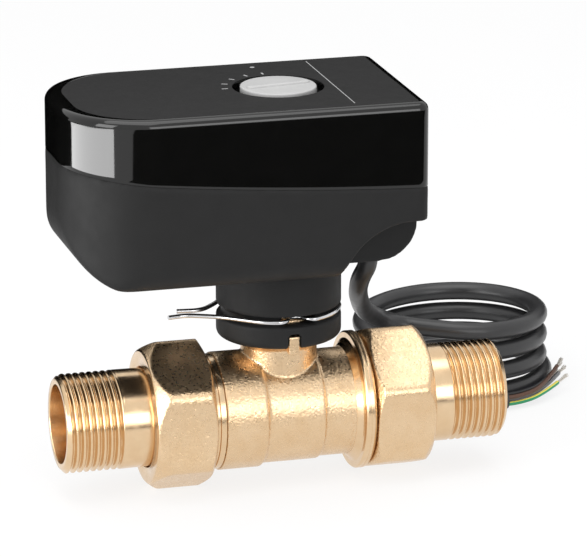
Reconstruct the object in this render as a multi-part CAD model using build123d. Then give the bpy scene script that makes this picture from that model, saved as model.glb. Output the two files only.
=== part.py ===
from build123d import *
import os
from math import acos, asin, atan2, cos, degrees, hypot, pi, radians, sin, sqrt, tan

# Motorized ball valve: a brass two-way valve with a union on each side, an electric actuator
# clipped on its neck, and the actuator's cable lying in a coil beside it.
# Millimetres. The model is drawn round the ball's centre: X along the pipe, Z up the stem, the
# front towards -Y. On export it moves along X, so that the origin is the centre of the left pipe end.

# Fits
RUNNING = 0.05
SEATED = 0.02
LOOSE = 0.30

# Pipe ends: G 1 male threads
TAIL_REACH = 76.0
PIPE_THREAD_R = 16.62
PIPE_THREAD_PITCH = 2.309
PIPE_THREAD_DEPTH = 1.25
PIPE_THREAD_TURNS = 8
PIPE_END_CHAMFER = 1.5
PIPE_BORE_R = 13.2
TAIL_FLANGE_R = 19.8
TAIL_FLANGE_LENGTH = 4.0

# Unions
UNION_FACE = 38.0
UNION_THREAD_R = 20.95
UNION_GASKET = 1.5
NUT_ACROSS_FLATS = 45.5
NUT_CORNER_R = 25.65
NUT_LENGTH = 20.5
NUT_FLAT_FACE_R = 22.2
NUT_INNER_CHAMFER = 2.0
NUT_OUTER_CHAMFER_LEFT = 4.4
NUT_OUTER_CHAMFER_RIGHT = 3.4
NUT_INNER_FACE_LEFT = 26.5
NUT_INNER_FACE_RIGHT = 28.5
NUT_TURN_LEFT = 0.0
NUT_TURN_RIGHT = 9.0

# Valve body
WATERWAY_R = 10.3
BODY_LEFT = 22.7
BODY_LEFT_R = 19.9
BODY_MIDDLE_R = 18.8
BODY_RIGHT_R = 18.1
BODY_STEP_LEFT = 8.9
BODY_STEP_RIGHT = 11.2
BODY_STEP_RUN = 1.2
FLARE_START = 22.4
FLARE_R = 20.6
FLANGE_START = 24.4
FLANGE_R = 23.2
FLANGE_END = 27.9
CONNECTOR_RING_R = 19.4
CONNECTOR_SPIGOT_R = 17.0
CONNECTOR_GROOVE_WIDTH = 0.9
CONNECTOR_GROOVE_DEPTH = 0.7
TOWER_R = 12.8
COLLAR_R = 15.0
COLLAR_LOW = 22.9
COLLAR_HIGH = 24.6
SPIGOT_R = 14.9
SPIGOT_TOP = 42.5
LUG_WIDTH = 3.5
LUG_REACH = 20.3
LUG_TOP = 29.9

# Ball, seats and stem
BALL_R = 15.5
BALL_PORT_R = 10.0
CHAMBER_GAP = 0.5
CHAMBER_R = BALL_R + CHAMBER_GAP
SEAT_SHARE = 0.542
SEAT_FRONT = BALL_R * SEAT_SHARE
SEAT_DEPTH = 5.0
SEAT_BACK = SEAT_FRONT + SEAT_DEPTH
SEAT_STEP = 1.2
SEAT_R = BALL_R - SEAT_STEP
STEM_R = 5.0
STEM_TANG_WIDTH = 5.0
STEM_TANG_LENGTH = 12.0
STEM_TANG_DEPTH = 3.3
STEM_FLANGE_R = 8.0
STEM_FLANGE_LOW = CHAMBER_R + 0.7
STEM_FLANGE_HEIGHT = 2.4
STEM_WASHER = 1.0
STEM_SQUARE = 7.0
STEM_SQUARE_LOW = 42.0
STEM_SQUARE_TOP = 49.5
O_RING_WIRE_R = 0.68
O_RING_LEVELS = (26.0, 31.0)

# Neck of the actuator and its wire clip
NECK_R = 20.95
NECK_BOTTOM = 25.7
NECK_SOCKET_TOP = 44.2
NECK_EDGE = 2.0
NOTCH_WIDTH = 4.2
NOTCH_TOP = 30.8
CLIP_LEVEL = 35.2
CLIP_WIRE_R = 0.75
CLIP_RING_R = 20.2
CLIP_GROOVE_WIDTH = 3.4
CLIP_GROOVE_R = 19.3
CLIP_SEAT_R = 13.4
CLIP_WINDOW = (-4.3, 7.7)

# Actuator housing
HOUSING_LEFT = 76.5
HOUSING_RIGHT = 42.0
HOUSING_HALF_WIDTH = 35.2
HOUSING_LEFT_CORNER = 28.0
HOUSING_RIGHT_CORNER = 4.0
HOUSING_WALL = 2.2
PLAN_EASE = 0.06
BASE_BOTTOM = 52.0
BASE_LEFT_ROUND = 22.0
BASE_EDGE_ROUND = 9.0
TRUNK_HALF_WIDTH = 21.0
TRUNK_BOTTOM = 54.0
TRUNK_ROUND = 13.0
ARCH_R = 24.9
ARCH_X = 36.6
LIP_BOTTOM = 70.7
PARTING_LEFT_Z = 92.0
PARTING_RIGHT_Z = 82.0
PARTING_SAG = 1.5
COVER_TOP = 110.6
COVER_EDGE = 2.7
SEAL_INSET = 0.8
SEAL_WIDTH = 0.7
SEAL_DEPTH = 1.0
PLATE_INSET = 3.0
PLATE_LEFT_INSET = 2.6
PLATE_THICKNESS = 0.4
PLATE_RECESS = 0.5

# Knob on the stem's axis
KNOB_R = 12.65
KNOB_TOP = 110.9
KNOB_THICKNESS = 3.5
KNOB_TRAVEL = 2.5
KNOB_HUB_R = 5.5
KNOB_ROOF = 2.0
KNOB_RIDGE_WIDTH = 2.6
KNOB_RIDGE_HEIGHT = 0.7
WELL_R = 15.2
WELL_WALL = 2.0
WELL_SEAL_DEPTH = 1.2
WELL_SEAL_WIDTH = 1.4

# Output shaft and its bush
HUB_R = 6.5
HUB_BOTTOM = 44.6
HUB_TOP = 57.4
HUB_SHOULDER_R = 8.0
HUB_SOCKET_TOP = 50.2
SHAFT_R = 4.0
BUSH_R = 8.6
BUSH_FLANGE_R = 10.0
BUSH_FLANGE = 1.2
SHAFT_SQUARE = 5.0

# Gear train on two plates
GEAR_PRESSURE = 25.0
GEAR_ADDENDUM = 0.85
GEAR_DEDUCTION = 1.15
GEAR_BACKLASH = 0.16
FINE_MODULE = 0.8
COARSE_MODULE = 1.0
MOTOR_TEETH = 12
IDLER_TEETH = 40
IDLER_PINION_TEETH = 11
OUTPUT_TEETH = 44
GEAR_FACE = 4.0
PLATE_LOW = 80.0
CHASSIS_THICKNESS = 1.6
GEAR_CLEARANCE = 1.0
CHASSIS_UPPER = 93.6
CHASSIS_LEFT = 56.0
CHASSIS_RIGHT = 24.0
CHASSIS_GAP = 2.0
CHASSIS_HALF_WIDTH = HOUSING_HALF_WIDTH - HOUSING_WALL - CHASSIS_GAP
CHASSIS_CORNER = 3.0
PILLAR_X = (-30.0, 17.0)
PILLAR_INSET = 4.2
PILLAR_Y = CHASSIS_HALF_WIDTH - PILLAR_INSET
PILLAR_R = 3.2
CHASSIS_SCREW_R = 1.45
CHASSIS_SCREW_HEAD_R = 2.8
CHASSIS_SCREW_HEAD = 1.8
CHASSIS_SCREW_BITE = 8.0
IDLER_AXLE_R = 2.0
MOTOR_R = 17.5
MOTOR_HEIGHT = 17.0
MOTOR_SHAFT_R = 1.5
MOTOR_EAR_R = 3.0
MOTOR_EAR_REACH = 18.0
MOTOR_EAR_THICKNESS = 1.2

# Cams and limit switches
CAM_R = 9.5
CAM_LOBE_R = 12.2
CAM_LOBE_ANGLE = 55.0
CAM_HEIGHT = 4.0
CAM_LEVELS = (58.4, 66.0)
SWITCH_HEIGHT = 6.4
SWITCH_LENGTH = 19.8
SWITCH_DEPTH = 9.0
SWITCH_GAP = 1.2
PLUNGER_R = 1.1
PLUNGER_OUT = 1.3
PLUNGER_LENGTH = 5.0
PLUNGER_TRAVEL = 0.6

# Circuit board
BOARD_LEFT = 25.4
BOARD_WIDTH = 13.6
BOARD_HALF_LENGTH = 22.5
BOARD_LEVEL = 76.0
BOARD_THICKNESS = 1.6
BOARD_POST_Y = 17.0
BOARD_POST_R = 2.6
BOARD_SCREW_R = 1.1
RELAY_SIZE = (9.6, 9.6, 10.0)
RELAY_Y = 0.4
TERMINAL_SIZE = (8.0, 9.4, 8.5)
TERMINAL_Y = -9.6
CAPACITOR_R = 3.8
CAPACITOR_Y = 9.6
CAPACITOR_HEIGHT = 12.0

# Housing screws
SCREW_SPOTS = ((-60.0, 19.6), (HOUSING_RIGHT - 6.6, HOUSING_HALF_WIDTH - 6.6))
SCREW_BOSS_R = 3.7
SCREW_R = 1.5
SCREW_HEAD_R = 2.9
SCREW_HEAD = 2.2
SCREW_BITE = 9.0
SCREW_SEAT_WALL = 3.0

# Cable: a free run from the gland to a coil on the floor, and the bare cores at its end
CABLE_R = 3.25
CABLE_SPOT = (33.2, 6.0)
GLAND_R = 4.9
GLAND_DROP = 3.0
CLAMP_SIZE = (13.0, 16.2, 6.0)
CLAMP_SCREW_Y = 5.9
CLAMP_SCREW_R = 1.3
CLAMP_BED = 58.4
COIL_X = 88.2
COIL_Y = 89.0
COIL_R = 31.8
COIL_PITCH = 7.55
COIL_START = 245.0
COIL_STACK_TURNS = 3.2
COIL_LOOSE_TURNS = 0.88
COIL_LOOSE_STEP = 7.25
COIL_LIFT = 0.1
COIL_START_LIFT = 0.6
COIL_START_TURNS = 0.1
COIL_LEAD = 2 * CABLE_R
CORE_R = 0.75
CORE_TIP_R = 0.5
CORE_TIP_LENGTH = 8.0

FLOOR = -NUT_CORNER_R
CENTRED = (Align.CENTER, Align.CENTER, Align.MIN)


# Building blocks

def drum(radius, low, high, x=0.0, y=0.0):
    """An upright cylinder between two heights."""
    return Pos(x, y, low) * Cylinder(radius, high - low, align=CENTRED)


def ring(outer, inner, low, high, x=0.0, y=0.0):
    """An upright tube between two heights."""
    return drum(outer, low, high, x, y) - drum(inner, low - 1, high + 1, x, y)


def block(x0, x1, y0, y1, z0, z1):
    """A box given by its low and high corners."""
    corner = (Align.MIN, Align.MIN, Align.MIN)
    return Pos(x0, y0, z0) * Box(x1 - x0, y1 - y0, z1 - z0, align=corner)


def spun(profile):
    """A solid of revolution about the pipe's axis, from a face above it."""
    face = profile.face()
    if face.normal_at().Z < 0:
        face = -face
    return revolve(face, Axis.X)


def turned(points):
    """A solid of revolution about the pipe's axis, from (x, radius) points."""
    return spun(make_face(Polyline(*points, close=True)))


def turned_upright(points):
    """A solid of revolution about the stem's axis, from (radius, z) points."""
    return revolve(Plane.XZ * make_face(Polyline(*points, close=True)), Axis.Z)


def on_left(shape):
    """The same piece at the left end of the pipe."""
    return mirror(shape, about=Plane.YZ)


def mirrored_pair(shape):
    """The shape and its mirror image behind the XZ plane."""
    return shape + mirror(shape, about=Plane.XZ)


def tube_along(path, radius):
    """A round solid swept along a path."""
    start = Plane(origin=path @ 0, z_dir=path % 0)
    return sweep(start * Circle(radius), path=path)


def bend_radii(points):
    """Radius of each corner: 0.45 of the shorter run over the tangent of half the turn."""
    radii = []
    for before, here, after in zip(points, points[1:], points[2:]):
        into, out = Vector(*here) - Vector(*before), Vector(*after) - Vector(*here)
        turn = radians(into.get_angle(out))
        radii.append(0.45 * min(into.length, out.length) / tan(turn / 2))
    return radii


def save(name, shape):
    """Writes one node, moved so that the left pipe end is at the origin."""
    solids = [solid.moved(Location((TAIL_REACH, 0, 0))) for solid in shape.solids()]
    whole = solids[0] if len(solids) == 1 else Compound(children=solids)
    whole.label = name
    export_step(whole, os.path.join("parts", name + ".step"))


# Brass valve

TAIL_INNER_FACE = UNION_FACE + UNION_GASKET
NUT_SHOULDER = TAIL_INNER_FACE + TAIL_FLANGE_LENGTH


def valve_body():
    """Cast body with the stem tower, the lug, the right flange and the right union thread."""
    shell = turned([
        (-BODY_LEFT, 0),
        (-BODY_LEFT, BODY_LEFT_R),
        (-BODY_STEP_LEFT, BODY_LEFT_R),
        (-BODY_STEP_LEFT + BODY_STEP_RUN, BODY_MIDDLE_R),
        (BODY_STEP_RIGHT, BODY_MIDDLE_R),
        (BODY_STEP_RIGHT + BODY_STEP_RUN / 2, BODY_RIGHT_R),
        (FLARE_START, BODY_RIGHT_R),
        (FLANGE_START, FLARE_R),
        (FLANGE_START, FLANGE_R - 0.5),
        (FLANGE_START + 0.5, FLANGE_R),
        (FLANGE_END - 0.8, FLANGE_R),
        (FLANGE_END, FLANGE_R - 0.8),
        (FLANGE_END, UNION_THREAD_R),
        (UNION_FACE - 1, UNION_THREAD_R),
        (UNION_FACE, UNION_THREAD_R - 1),
        (UNION_FACE, 0),
    ])
    tower = turned_upright([
        (0, 0),
        (TOWER_R, 0),
        (TOWER_R, COLLAR_LOW),
        (COLLAR_R, COLLAR_HIGH),
        (COLLAR_R, NECK_BOTTOM - RUNNING),
        (SPIGOT_R, NECK_BOTTOM - RUNNING),
        (SPIGOT_R, SPIGOT_TOP - 1),
        (SPIGOT_R - 1, SPIGOT_TOP),
        (0, SPIGOT_TOP),
    ])
    lug_root = (COLLAR_LOW + COLLAR_HIGH) / 2
    lug = block(-LUG_WIDTH / 2, LUG_WIDTH / 2, -LUG_REACH, -TOWER_R + 1, lug_root, LUG_TOP)
    body = shell + tower + lug
    clip_groove = ring(COLLAR_R + 1, CLIP_SEAT_R, CLIP_LEVEL - 1.1, CLIP_LEVEL + 1.1)
    waterway = turned([
        (-BODY_LEFT - 1, 0),
        (-BODY_LEFT - 1, CONNECTOR_SPIGOT_R),
        (-SEAT_FRONT, CONNECTOR_SPIGOT_R),
        (-SEAT_FRONT, CHAMBER_R),
        (SEAT_FRONT, CHAMBER_R),
        (SEAT_FRONT, SEAT_R + RUNNING),
        (SEAT_BACK, SEAT_R + RUNNING),
        (SEAT_BACK, WATERWAY_R),
        (UNION_FACE + 1, WATERWAY_R),
        (UNION_FACE + 1, 0),
    ])
    washer_top = STEM_FLANGE_LOW + STEM_FLANGE_HEIGHT + RUNNING + STEM_WASHER
    stem_bore = drum(STEM_R + RUNNING, 0, SPIGOT_TOP + 1)
    stem_pocket = drum(STEM_FLANGE_R + RUNNING, 0, washer_top)
    return body - clip_groove - waterway - stem_bore - stem_pocket


def end_connector():
    """Left half of the body: the grooved ring, the union thread and the screwed spigot."""
    groove_x = NUT_INNER_FACE_LEFT - 0.9
    ring_end = NUT_INNER_FACE_LEFT - LOOSE
    outside = turned([
        (-UNION_FACE, 0),
        (-UNION_FACE, UNION_THREAD_R - 1),
        (-UNION_FACE + 1, UNION_THREAD_R),
        (-ring_end, UNION_THREAD_R),
        (-ring_end, CONNECTOR_RING_R),
        (-BODY_LEFT, CONNECTOR_RING_R),
        (-BODY_LEFT, CONNECTOR_SPIGOT_R - RUNNING),
        (-SEAT_FRONT, CONNECTOR_SPIGOT_R - RUNNING),
        (-SEAT_FRONT, 0),
    ])
    inside = turned([
        (-UNION_FACE - 1, 0),
        (-UNION_FACE - 1, WATERWAY_R),
        (-SEAT_BACK, WATERWAY_R),
        (-SEAT_BACK, SEAT_R + RUNNING),
        (-SEAT_FRONT + 1, SEAT_R + RUNNING),
        (-SEAT_FRONT + 1, 0),
    ])
    groove = turned([
        (-groove_x, CONNECTOR_RING_R - CONNECTOR_GROOVE_DEPTH),
        (-groove_x, CONNECTOR_RING_R + 1),
        (-groove_x + CONNECTOR_GROOVE_WIDTH, CONNECTOR_RING_R + 1),
        (-groove_x + CONNECTOR_GROOVE_WIDTH, CONNECTOR_RING_R - CONNECTOR_GROOVE_DEPTH),
    ])
    return outside - inside - groove


def seat():
    """Right seat ring with a spherical face round the ball."""
    face_r = BALL_R + RUNNING
    outer_edge = (SEAT_FRONT, sqrt(face_r ** 2 - SEAT_FRONT ** 2))
    inner_edge = (sqrt(face_r ** 2 - WATERWAY_R ** 2), WATERWAY_R)
    middle = (asin(WATERWAY_R / face_r) + acos(SEAT_FRONT / face_r)) / 2
    halfway = (face_r * cos(middle), face_r * sin(middle))
    back = [(SEAT_FRONT, SEAT_R), (SEAT_BACK, SEAT_R), (SEAT_BACK, WATERWAY_R)]
    outline = [Polyline(outer_edge, *back, inner_edge), ThreePointArc(inner_edge, halfway, outer_edge)]
    return spun(make_face(outline))


def ball():
    """Bored ball with the slot that the stem turns it by."""
    bore = turned([
        (-BALL_R - 1, 0), (-BALL_R - 1, BALL_PORT_R), (BALL_R + 1, BALL_PORT_R), (BALL_R + 1, 0),
    ])
    half_width = STEM_TANG_WIDTH / 2 + RUNNING
    slot_floor = BALL_R - STEM_TANG_DEPTH
    slot = block(-BALL_R, BALL_R, -half_width, half_width, slot_floor, BALL_R + 1)
    return Sphere(BALL_R) - bore - slot


def stem():
    """Stem with its tang, flange, seal grooves and square top."""
    flange_top = STEM_FLANGE_LOW + STEM_FLANGE_HEIGHT
    shaft = drum(STEM_R, flange_top, STEM_SQUARE_LOW)
    flange = drum(STEM_FLANGE_R, STEM_FLANGE_LOW, flange_top)
    tang = block(
        -STEM_TANG_LENGTH / 2, STEM_TANG_LENGTH / 2, -STEM_TANG_WIDTH / 2, STEM_TANG_WIDTH / 2,
        BALL_R - STEM_TANG_DEPTH + RUNNING, STEM_FLANGE_LOW,
    )
    half = STEM_SQUARE / 2
    square = block(-half, half, -half, half, STEM_SQUARE_LOW, STEM_SQUARE_TOP)
    body = shaft + flange + tang + square
    for level in O_RING_LEVELS:
        depth = STEM_R - 2 * O_RING_WIRE_R - RUNNING
        half_groove = O_RING_WIRE_R + RUNNING
        body -= ring(STEM_R + 1, depth, level - half_groove, level + half_groove)
    return body


def stem_o_rings():
    """Two rubber rings in the stem's grooves."""
    middle = STEM_R - O_RING_WIRE_R
    rings = [Pos(0, 0, level) * Torus(middle, O_RING_WIRE_R) for level in O_RING_LEVELS]
    return Compound(children=rings)


def stem_washer():
    """Slip washer between the stem's flange and the body."""
    low = STEM_FLANGE_LOW + STEM_FLANGE_HEIGHT + RUNNING
    return ring(STEM_FLANGE_R, STEM_R + RUNNING, low, low + STEM_WASHER)


def union_nut(inner, outer_chamfer, turn):
    """Right hexagon union nut from its inner face outward, turned by an angle in degrees."""
    outer = inner + NUT_LENGTH
    flat = NUT_ACROSS_FLATS / 2
    hexagon = Plane.YZ * RegularPolygon(flat, 6, major_radius=False, rotation=30 + turn)
    prism = Pos(inner, 0, 0) * extrude(hexagon, NUT_LENGTH)
    envelope = turned([
        (inner, 0),
        (inner, NUT_FLAT_FACE_R),
        (inner + NUT_INNER_CHAMFER, NUT_CORNER_R),
        (outer - outer_chamfer, NUT_CORNER_R),
        (outer, NUT_FLAT_FACE_R),
        (outer, 0),
    ])
    opening = turned([
        (inner - 1, 0),
        (inner - 1, UNION_THREAD_R + LOOSE),
        (NUT_SHOULDER, UNION_THREAD_R + LOOSE),
        (NUT_SHOULDER, PIPE_THREAD_R + LOOSE),
        (outer + 1, PIPE_THREAD_R + LOOSE),
        (outer + 1, 0),
    ])
    return (prism & envelope) - opening


def tail():
    """Right union tail with its flange, plain neck and male pipe thread."""
    end = TAIL_REACH
    flange_back = NUT_SHOULDER - RUNNING
    outside = turned([
        (TAIL_INNER_FACE, 0),
        (TAIL_INNER_FACE, TAIL_FLANGE_R),
        (flange_back, TAIL_FLANGE_R),
        (flange_back, PIPE_THREAD_R),
        (end - PIPE_END_CHAMFER, PIPE_THREAD_R),
        (end, PIPE_THREAD_R - PIPE_END_CHAMFER),
        (end, 0),
    ])
    bore = turned([
        (TAIL_INNER_FACE - 1, 0),
        (TAIL_INNER_FACE - 1, WATERWAY_R),
        (flange_back, WATERWAY_R),
        (flange_back, PIPE_BORE_R),
        (end + 1, PIPE_BORE_R),
        (end + 1, 0),
    ])
    piece = outside - bore
    half = PIPE_THREAD_PITCH * 0.4
    for index in range(PIPE_THREAD_TURNS):
        middle = end - PIPE_END_CHAMFER - PIPE_THREAD_PITCH * (index + 0.5)
        piece -= turned([
            (middle - half, PIPE_THREAD_R + 0.1),
            (middle, PIPE_THREAD_R - PIPE_THREAD_DEPTH),
            (middle + half, PIPE_THREAD_R + 0.1),
        ])
    return piece


def union_gasket():
    """Right flat gasket, between the body and the tail."""
    return turned([
        (UNION_FACE, WATERWAY_R),
        (UNION_FACE, TAIL_FLANGE_R),
        (TAIL_INNER_FACE, TAIL_FLANGE_R),
        (TAIL_INNER_FACE, WATERWAY_R),
    ])


# Wire clip

def on_circle(radius, angle):
    """A point at an angle in degrees on a circle round the stem."""
    return (radius * cos(radians(angle)), radius * sin(radians(angle)))


def clip_side(sign):
    """Corners of one half of the clip, from its closed end past the dip where it grips the spigot."""
    corner_r = CLIP_RING_R / cos(radians(15))
    near = CLIP_RING_R + 0.4
    grip = CLIP_SEAT_R + CLIP_WIRE_R + 0.9
    places = [(corner_r, 15), (corner_r, 45), (near, 72), (grip, 78), (grip, 92), (near, 98), (corner_r, 118)]
    return [on_circle(radius, sign * angle) for radius, angle in places]


def retaining_clip():
    """Sprung wire clip: a ring open at the left, with a dip and a bent tip on each side."""
    corner_r = CLIP_RING_R / cos(radians(15))
    front = clip_side(-1) + [on_circle(corner_r, -143), (-22.7, -7.8), (-32.6, -3.4), (-39.0, -4.5)]
    back = clip_side(1) + [on_circle(corner_r, 134), (-20.9, 6.3), (-26.4, 0.9), (-34.6, 1.9)]
    corners = [(x, y, CLIP_LEVEL) for x, y in front[::-1] + back]
    return tube_along(FilletPolyline(*corners, radius=bend_radii(corners)), CLIP_WIRE_R)


# Actuator housing

def parting_height(x):
    """Height of the line between base and cover, which rises and curves up to the left."""
    share = (HOUSING_RIGHT - x) / (HOUSING_RIGHT + HOUSING_LEFT)
    straight = PARTING_RIGHT_Z + share * (PARTING_LEFT_Z - PARTING_RIGHT_Z)
    return straight - 4 * PARTING_SAG * share * (1 - share)


def below_parting(drop=0.0):
    """Everything under the parting surface, lowered by a drop."""
    left, right = -HOUSING_LEFT - 10, HOUSING_RIGHT + 10
    middle = (left + right) / 2
    points = [(x, parting_height(x) - drop) for x in (left, middle, right)]
    outline = Wire([
        Edge.make_three_point_arc(*[Vector(x, z) for x, z in points]),
        Edge.make_line(Vector(*points[2]), Vector(right, 0)),
        Edge.make_line(Vector(right, 0), Vector(left, 0)),
        Edge.make_line(Vector(left, 0), Vector(*points[0])),
    ])
    return extrude(Plane.XZ * make_face(outline), 60, both=True)


def plan_face(inset, left_extra=0.0):
    """The housing's plan, drawn in by an inset."""
    left, right = -HOUSING_LEFT + inset + left_extra, HOUSING_RIGHT - inset
    half = HOUSING_HALF_WIDTH - inset
    plan = Pos((left + right) / 2, 0) * Rectangle(right - left, 2 * half)
    by_x = plan.vertices().sort_by(Axis.X)
    plan = fillet(by_x[:2], HOUSING_LEFT_CORNER - inset)
    right_corners = plan.vertices().sort_by(Axis.X)[-2:]
    return fillet(right_corners, max(HOUSING_RIGHT_CORNER - inset, 0.8))


def plan_solid(inset, low, high, left_extra=0.0):
    """The housing's plan between two heights."""
    return Pos(0, 0, low) * extrude(plan_face(inset, left_extra), high - low)


def side_outline(inset, bottom, right_round):
    """The base seen from the front: a large round at the lower left, a smaller one at the right."""
    left, right = -HOUSING_LEFT + inset, HOUSING_RIGHT - inset
    low, high = bottom + inset, PARTING_LEFT_Z + 20
    shape = Pos((left + right) / 2, (low + high) / 2) * Rectangle(right - left, high - low)
    lowest = shape.vertices().sort_by(Axis.Y)[:2].sort_by(Axis.X)
    shape = fillet(lowest[0], BASE_LEFT_ROUND - inset)
    corner = shape.vertices().sort_by(Axis.Y)[:2].sort_by(Axis.X)[-1]
    if right_round > inset:
        shape = fillet(corner, right_round - inset)
    return shape


def base_form(inset):
    """The base's outer form, drawn in by an inset: two flanks with an arch, and a trunk between.

    Its plan is eased outwards, so that the rounds of the three outlines cross at an angle.
    """
    plan = plan_solid(inset - PLAN_EASE, 0, PARTING_LEFT_Z + 15)
    half = HOUSING_HALF_WIDTH - inset
    end_view = Pos(0, (BASE_BOTTOM + inset + 120) / 2) * Rectangle(2 * half, 120 - BASE_BOTTOM - inset)
    end_view = fillet(end_view.vertices().sort_by(Axis.Y)[:2], BASE_EDGE_ROUND - inset)
    end_view = extrude(Plane.YZ * end_view, 120, both=True)
    flank_side = side_outline(inset, BASE_BOTTOM, 0)
    arch = Pos(ARCH_X, LIP_BOTTOM - ARCH_R) * Circle(ARCH_R + inset)
    under_lip = Pos(ARCH_X + 30, LIP_BOTTOM + inset - 30) * Rectangle(60, 60)
    flank_side = flank_side - arch - under_lip
    flanks = extrude(Plane.XZ * flank_side, 60, both=True) & plan & end_view
    trunk_side = side_outline(inset, TRUNK_BOTTOM, TRUNK_ROUND)
    trunk = extrude(Plane.XZ * trunk_side, TRUNK_HALF_WIDTH - inset, both=True) & plan
    return flanks + trunk


def at_screws(make):
    """The same feature at the four housing screws."""
    shapes = [make(x, y) for x, y in SCREW_SPOTS] + [make(x, -y) for x, y in SCREW_SPOTS]
    whole = shapes[0]
    for shape in shapes[1:]:
        whole += shape
    return whole


def outer_floor(x):
    """Height of the base's underside where a housing screw goes in."""
    if x > 0:
        return LIP_BOTTOM
    dx = -x - (HOUSING_LEFT - BASE_LEFT_ROUND)
    return BASE_BOTTOM + BASE_LEFT_ROUND - sqrt(BASE_LEFT_ROUND ** 2 - max(dx, 0.0) ** 2)


def screw_seat(x):
    """Height of the face under a housing screw's head."""
    return outer_floor(x) + SCREW_HEAD + SCREW_SEAT_WALL


def screw_top(x):
    """Height of a housing screw's tip."""
    return parting_height(x) + SCREW_BITE


def chassis_pillars():
    """Four posts of the base that carry the gear plates."""
    posts = []
    for x in PILLAR_X:
        for y in (-PILLAR_Y, PILLAR_Y):
            posts.append(drum(PILLAR_R, BASE_BOTTOM + 1, PLATE_LOW, x, y))
    return posts


def base_housing():
    """Lower half of the actuator: a deep shell with the neck, posts and screw bosses."""
    inside = base_form(HOUSING_WALL)
    neck = drum(NECK_R, NECK_BOTTOM, BASE_BOTTOM + 1)
    neck = fillet(neck.edges().sort_by(Axis.Z)[0], NECK_EDGE)
    shell = base_form(0) - inside
    posts = chassis_pillars()
    for y in (-BOARD_POST_Y, BOARD_POST_Y):
        posts.append(drum(BOARD_POST_R, TRUNK_BOTTOM + 1, BOARD_LEVEL, BOARD_LEFT + BOARD_WIDTH / 2, y))
    for post in posts:
        shell += post & base_form(HOUSING_WALL / 2)
    bosses = at_screws(lambda x, y: drum(SCREW_BOSS_R, outer_floor(x) - 5, 120, x, y))
    shell += bosses & base_form(HOUSING_WALL / 2)
    x, y = CABLE_SPOT
    shell += clamp_block(x, y, TRUNK_BOTTOM + 1, CLAMP_BED) & base_form(HOUSING_WALL / 2)
    shell = (shell + neck) & below_parting()
    seal_track = plan_solid(SEAL_INSET, 60, 120) - plan_solid(SEAL_INSET + SEAL_WIDTH, 59, 121)
    shell -= seal_track - below_parting(SEAL_DEPTH)
    shell -= drum(SPIGOT_R + 0.1, NECK_BOTTOM - 1, NECK_SOCKET_TOP)
    shell -= drum(BUSH_R + SEATED, NECK_SOCKET_TOP - 1, BASE_BOTTOM + 2 * HOUSING_WALL)
    notch = block(-NOTCH_WIDTH / 2, NOTCH_WIDTH / 2, -NECK_R - 1, -SPIGOT_R + 1, NECK_BOTTOM - 1, NOTCH_TOP)
    shell -= notch
    half_groove = CLIP_GROOVE_WIDTH / 2
    groove_low, groove_high = CLIP_LEVEL - half_groove, CLIP_LEVEL + half_groove
    shell -= ring(NECK_R + 1, CLIP_GROOVE_R, groove_low, groove_high)
    window = block(*CLIP_WINDOW, -NECK_R - 1, -SPIGOT_R + 4, groove_low, groove_high)
    shell -= mirrored_pair(window)
    shell -= at_screws(lambda sx, sy: drum(SCREW_R + 0.2, 40, 120, sx, sy))
    shell -= at_screws(lambda sx, sy: drum(SCREW_HEAD_R + 0.3, 40, screw_seat(sx), sx, sy))
    for px in PILLAR_X:
        for py in (-PILLAR_Y, PILLAR_Y):
            shell -= drum(CHASSIS_SCREW_R + SEATED, PLATE_LOW - CHASSIS_SCREW_BITE, PLATE_LOW + 1, px, py)
    for py in (-BOARD_POST_Y, BOARD_POST_Y):
        board_middle = BOARD_LEFT + BOARD_WIDTH / 2
        shell -= drum(BOARD_SCREW_R + SEATED, BOARD_LEVEL - 6, BOARD_LEVEL + 1, board_middle, py)
    shell -= drum(GLAND_R, TRUNK_BOTTOM - 1, CLAMP_BED + LOOSE, x, y)
    shell -= drum(CABLE_R + LOOSE, CLAMP_BED, CLAMP_BED + CLAMP_SIZE[2], x, y)
    return shell


def cover():
    """Upper half of the actuator: a glossy hood with the knob's well and a recessed top."""
    hood = plan_solid(0, PARTING_RIGHT_Z - 10, COVER_TOP)
    hood = fillet(hood.edges().group_by(Axis.Z)[-1], COVER_EDGE)
    hollow = plan_solid(HOUSING_WALL, PARTING_RIGHT_Z - 12, COVER_TOP - HOUSING_WALL - PLATE_RECESS)
    bosses = at_screws(lambda x, y: drum(SCREW_BOSS_R, PARTING_RIGHT_Z - 12, COVER_TOP - 1, x, y))
    well_floor = well_bottom() - WELL_WALL
    well_wall = drum(WELL_R + WELL_WALL, well_floor, COVER_TOP - 1)
    piece = (hood - hollow) + (bosses & plan_solid(HOUSING_WALL / 2, 0, COVER_TOP - 1)) + well_wall
    piece -= below_parting()
    piece -= plan_solid(PLATE_INSET, COVER_TOP - PLATE_RECESS, COVER_TOP + 1, PLATE_LEFT_INSET)
    piece -= drum(WELL_R, well_bottom(), COVER_TOP + 1)
    piece -= drum(KNOB_HUB_R + LOOSE, well_floor - 1, well_bottom() + 1)
    piece -= drum(KNOB_HUB_R + WELL_SEAL_WIDTH, well_bottom() - WELL_SEAL_DEPTH, well_bottom() + 1)
    piece -= at_screws(lambda x, y: drum(SCREW_R + SEATED, 0, screw_top(x) + 1, x, y))
    return piece


def knob_hub_bottom():
    """Height of the hub's lower end, a press above the end of the shaft's round part."""
    return shaft_top() + KNOB_TRAVEL + LOOSE


def shaft_top():
    """Height where the shaft's round part ends, just over the upper plate."""
    return CHASSIS_UPPER + CHASSIS_THICKNESS + LOOSE


def well_bottom():
    """Height of the floor of the knob's well."""
    return KNOB_TOP - KNOB_THICKNESS - KNOB_TRAVEL - LOOSE


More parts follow.
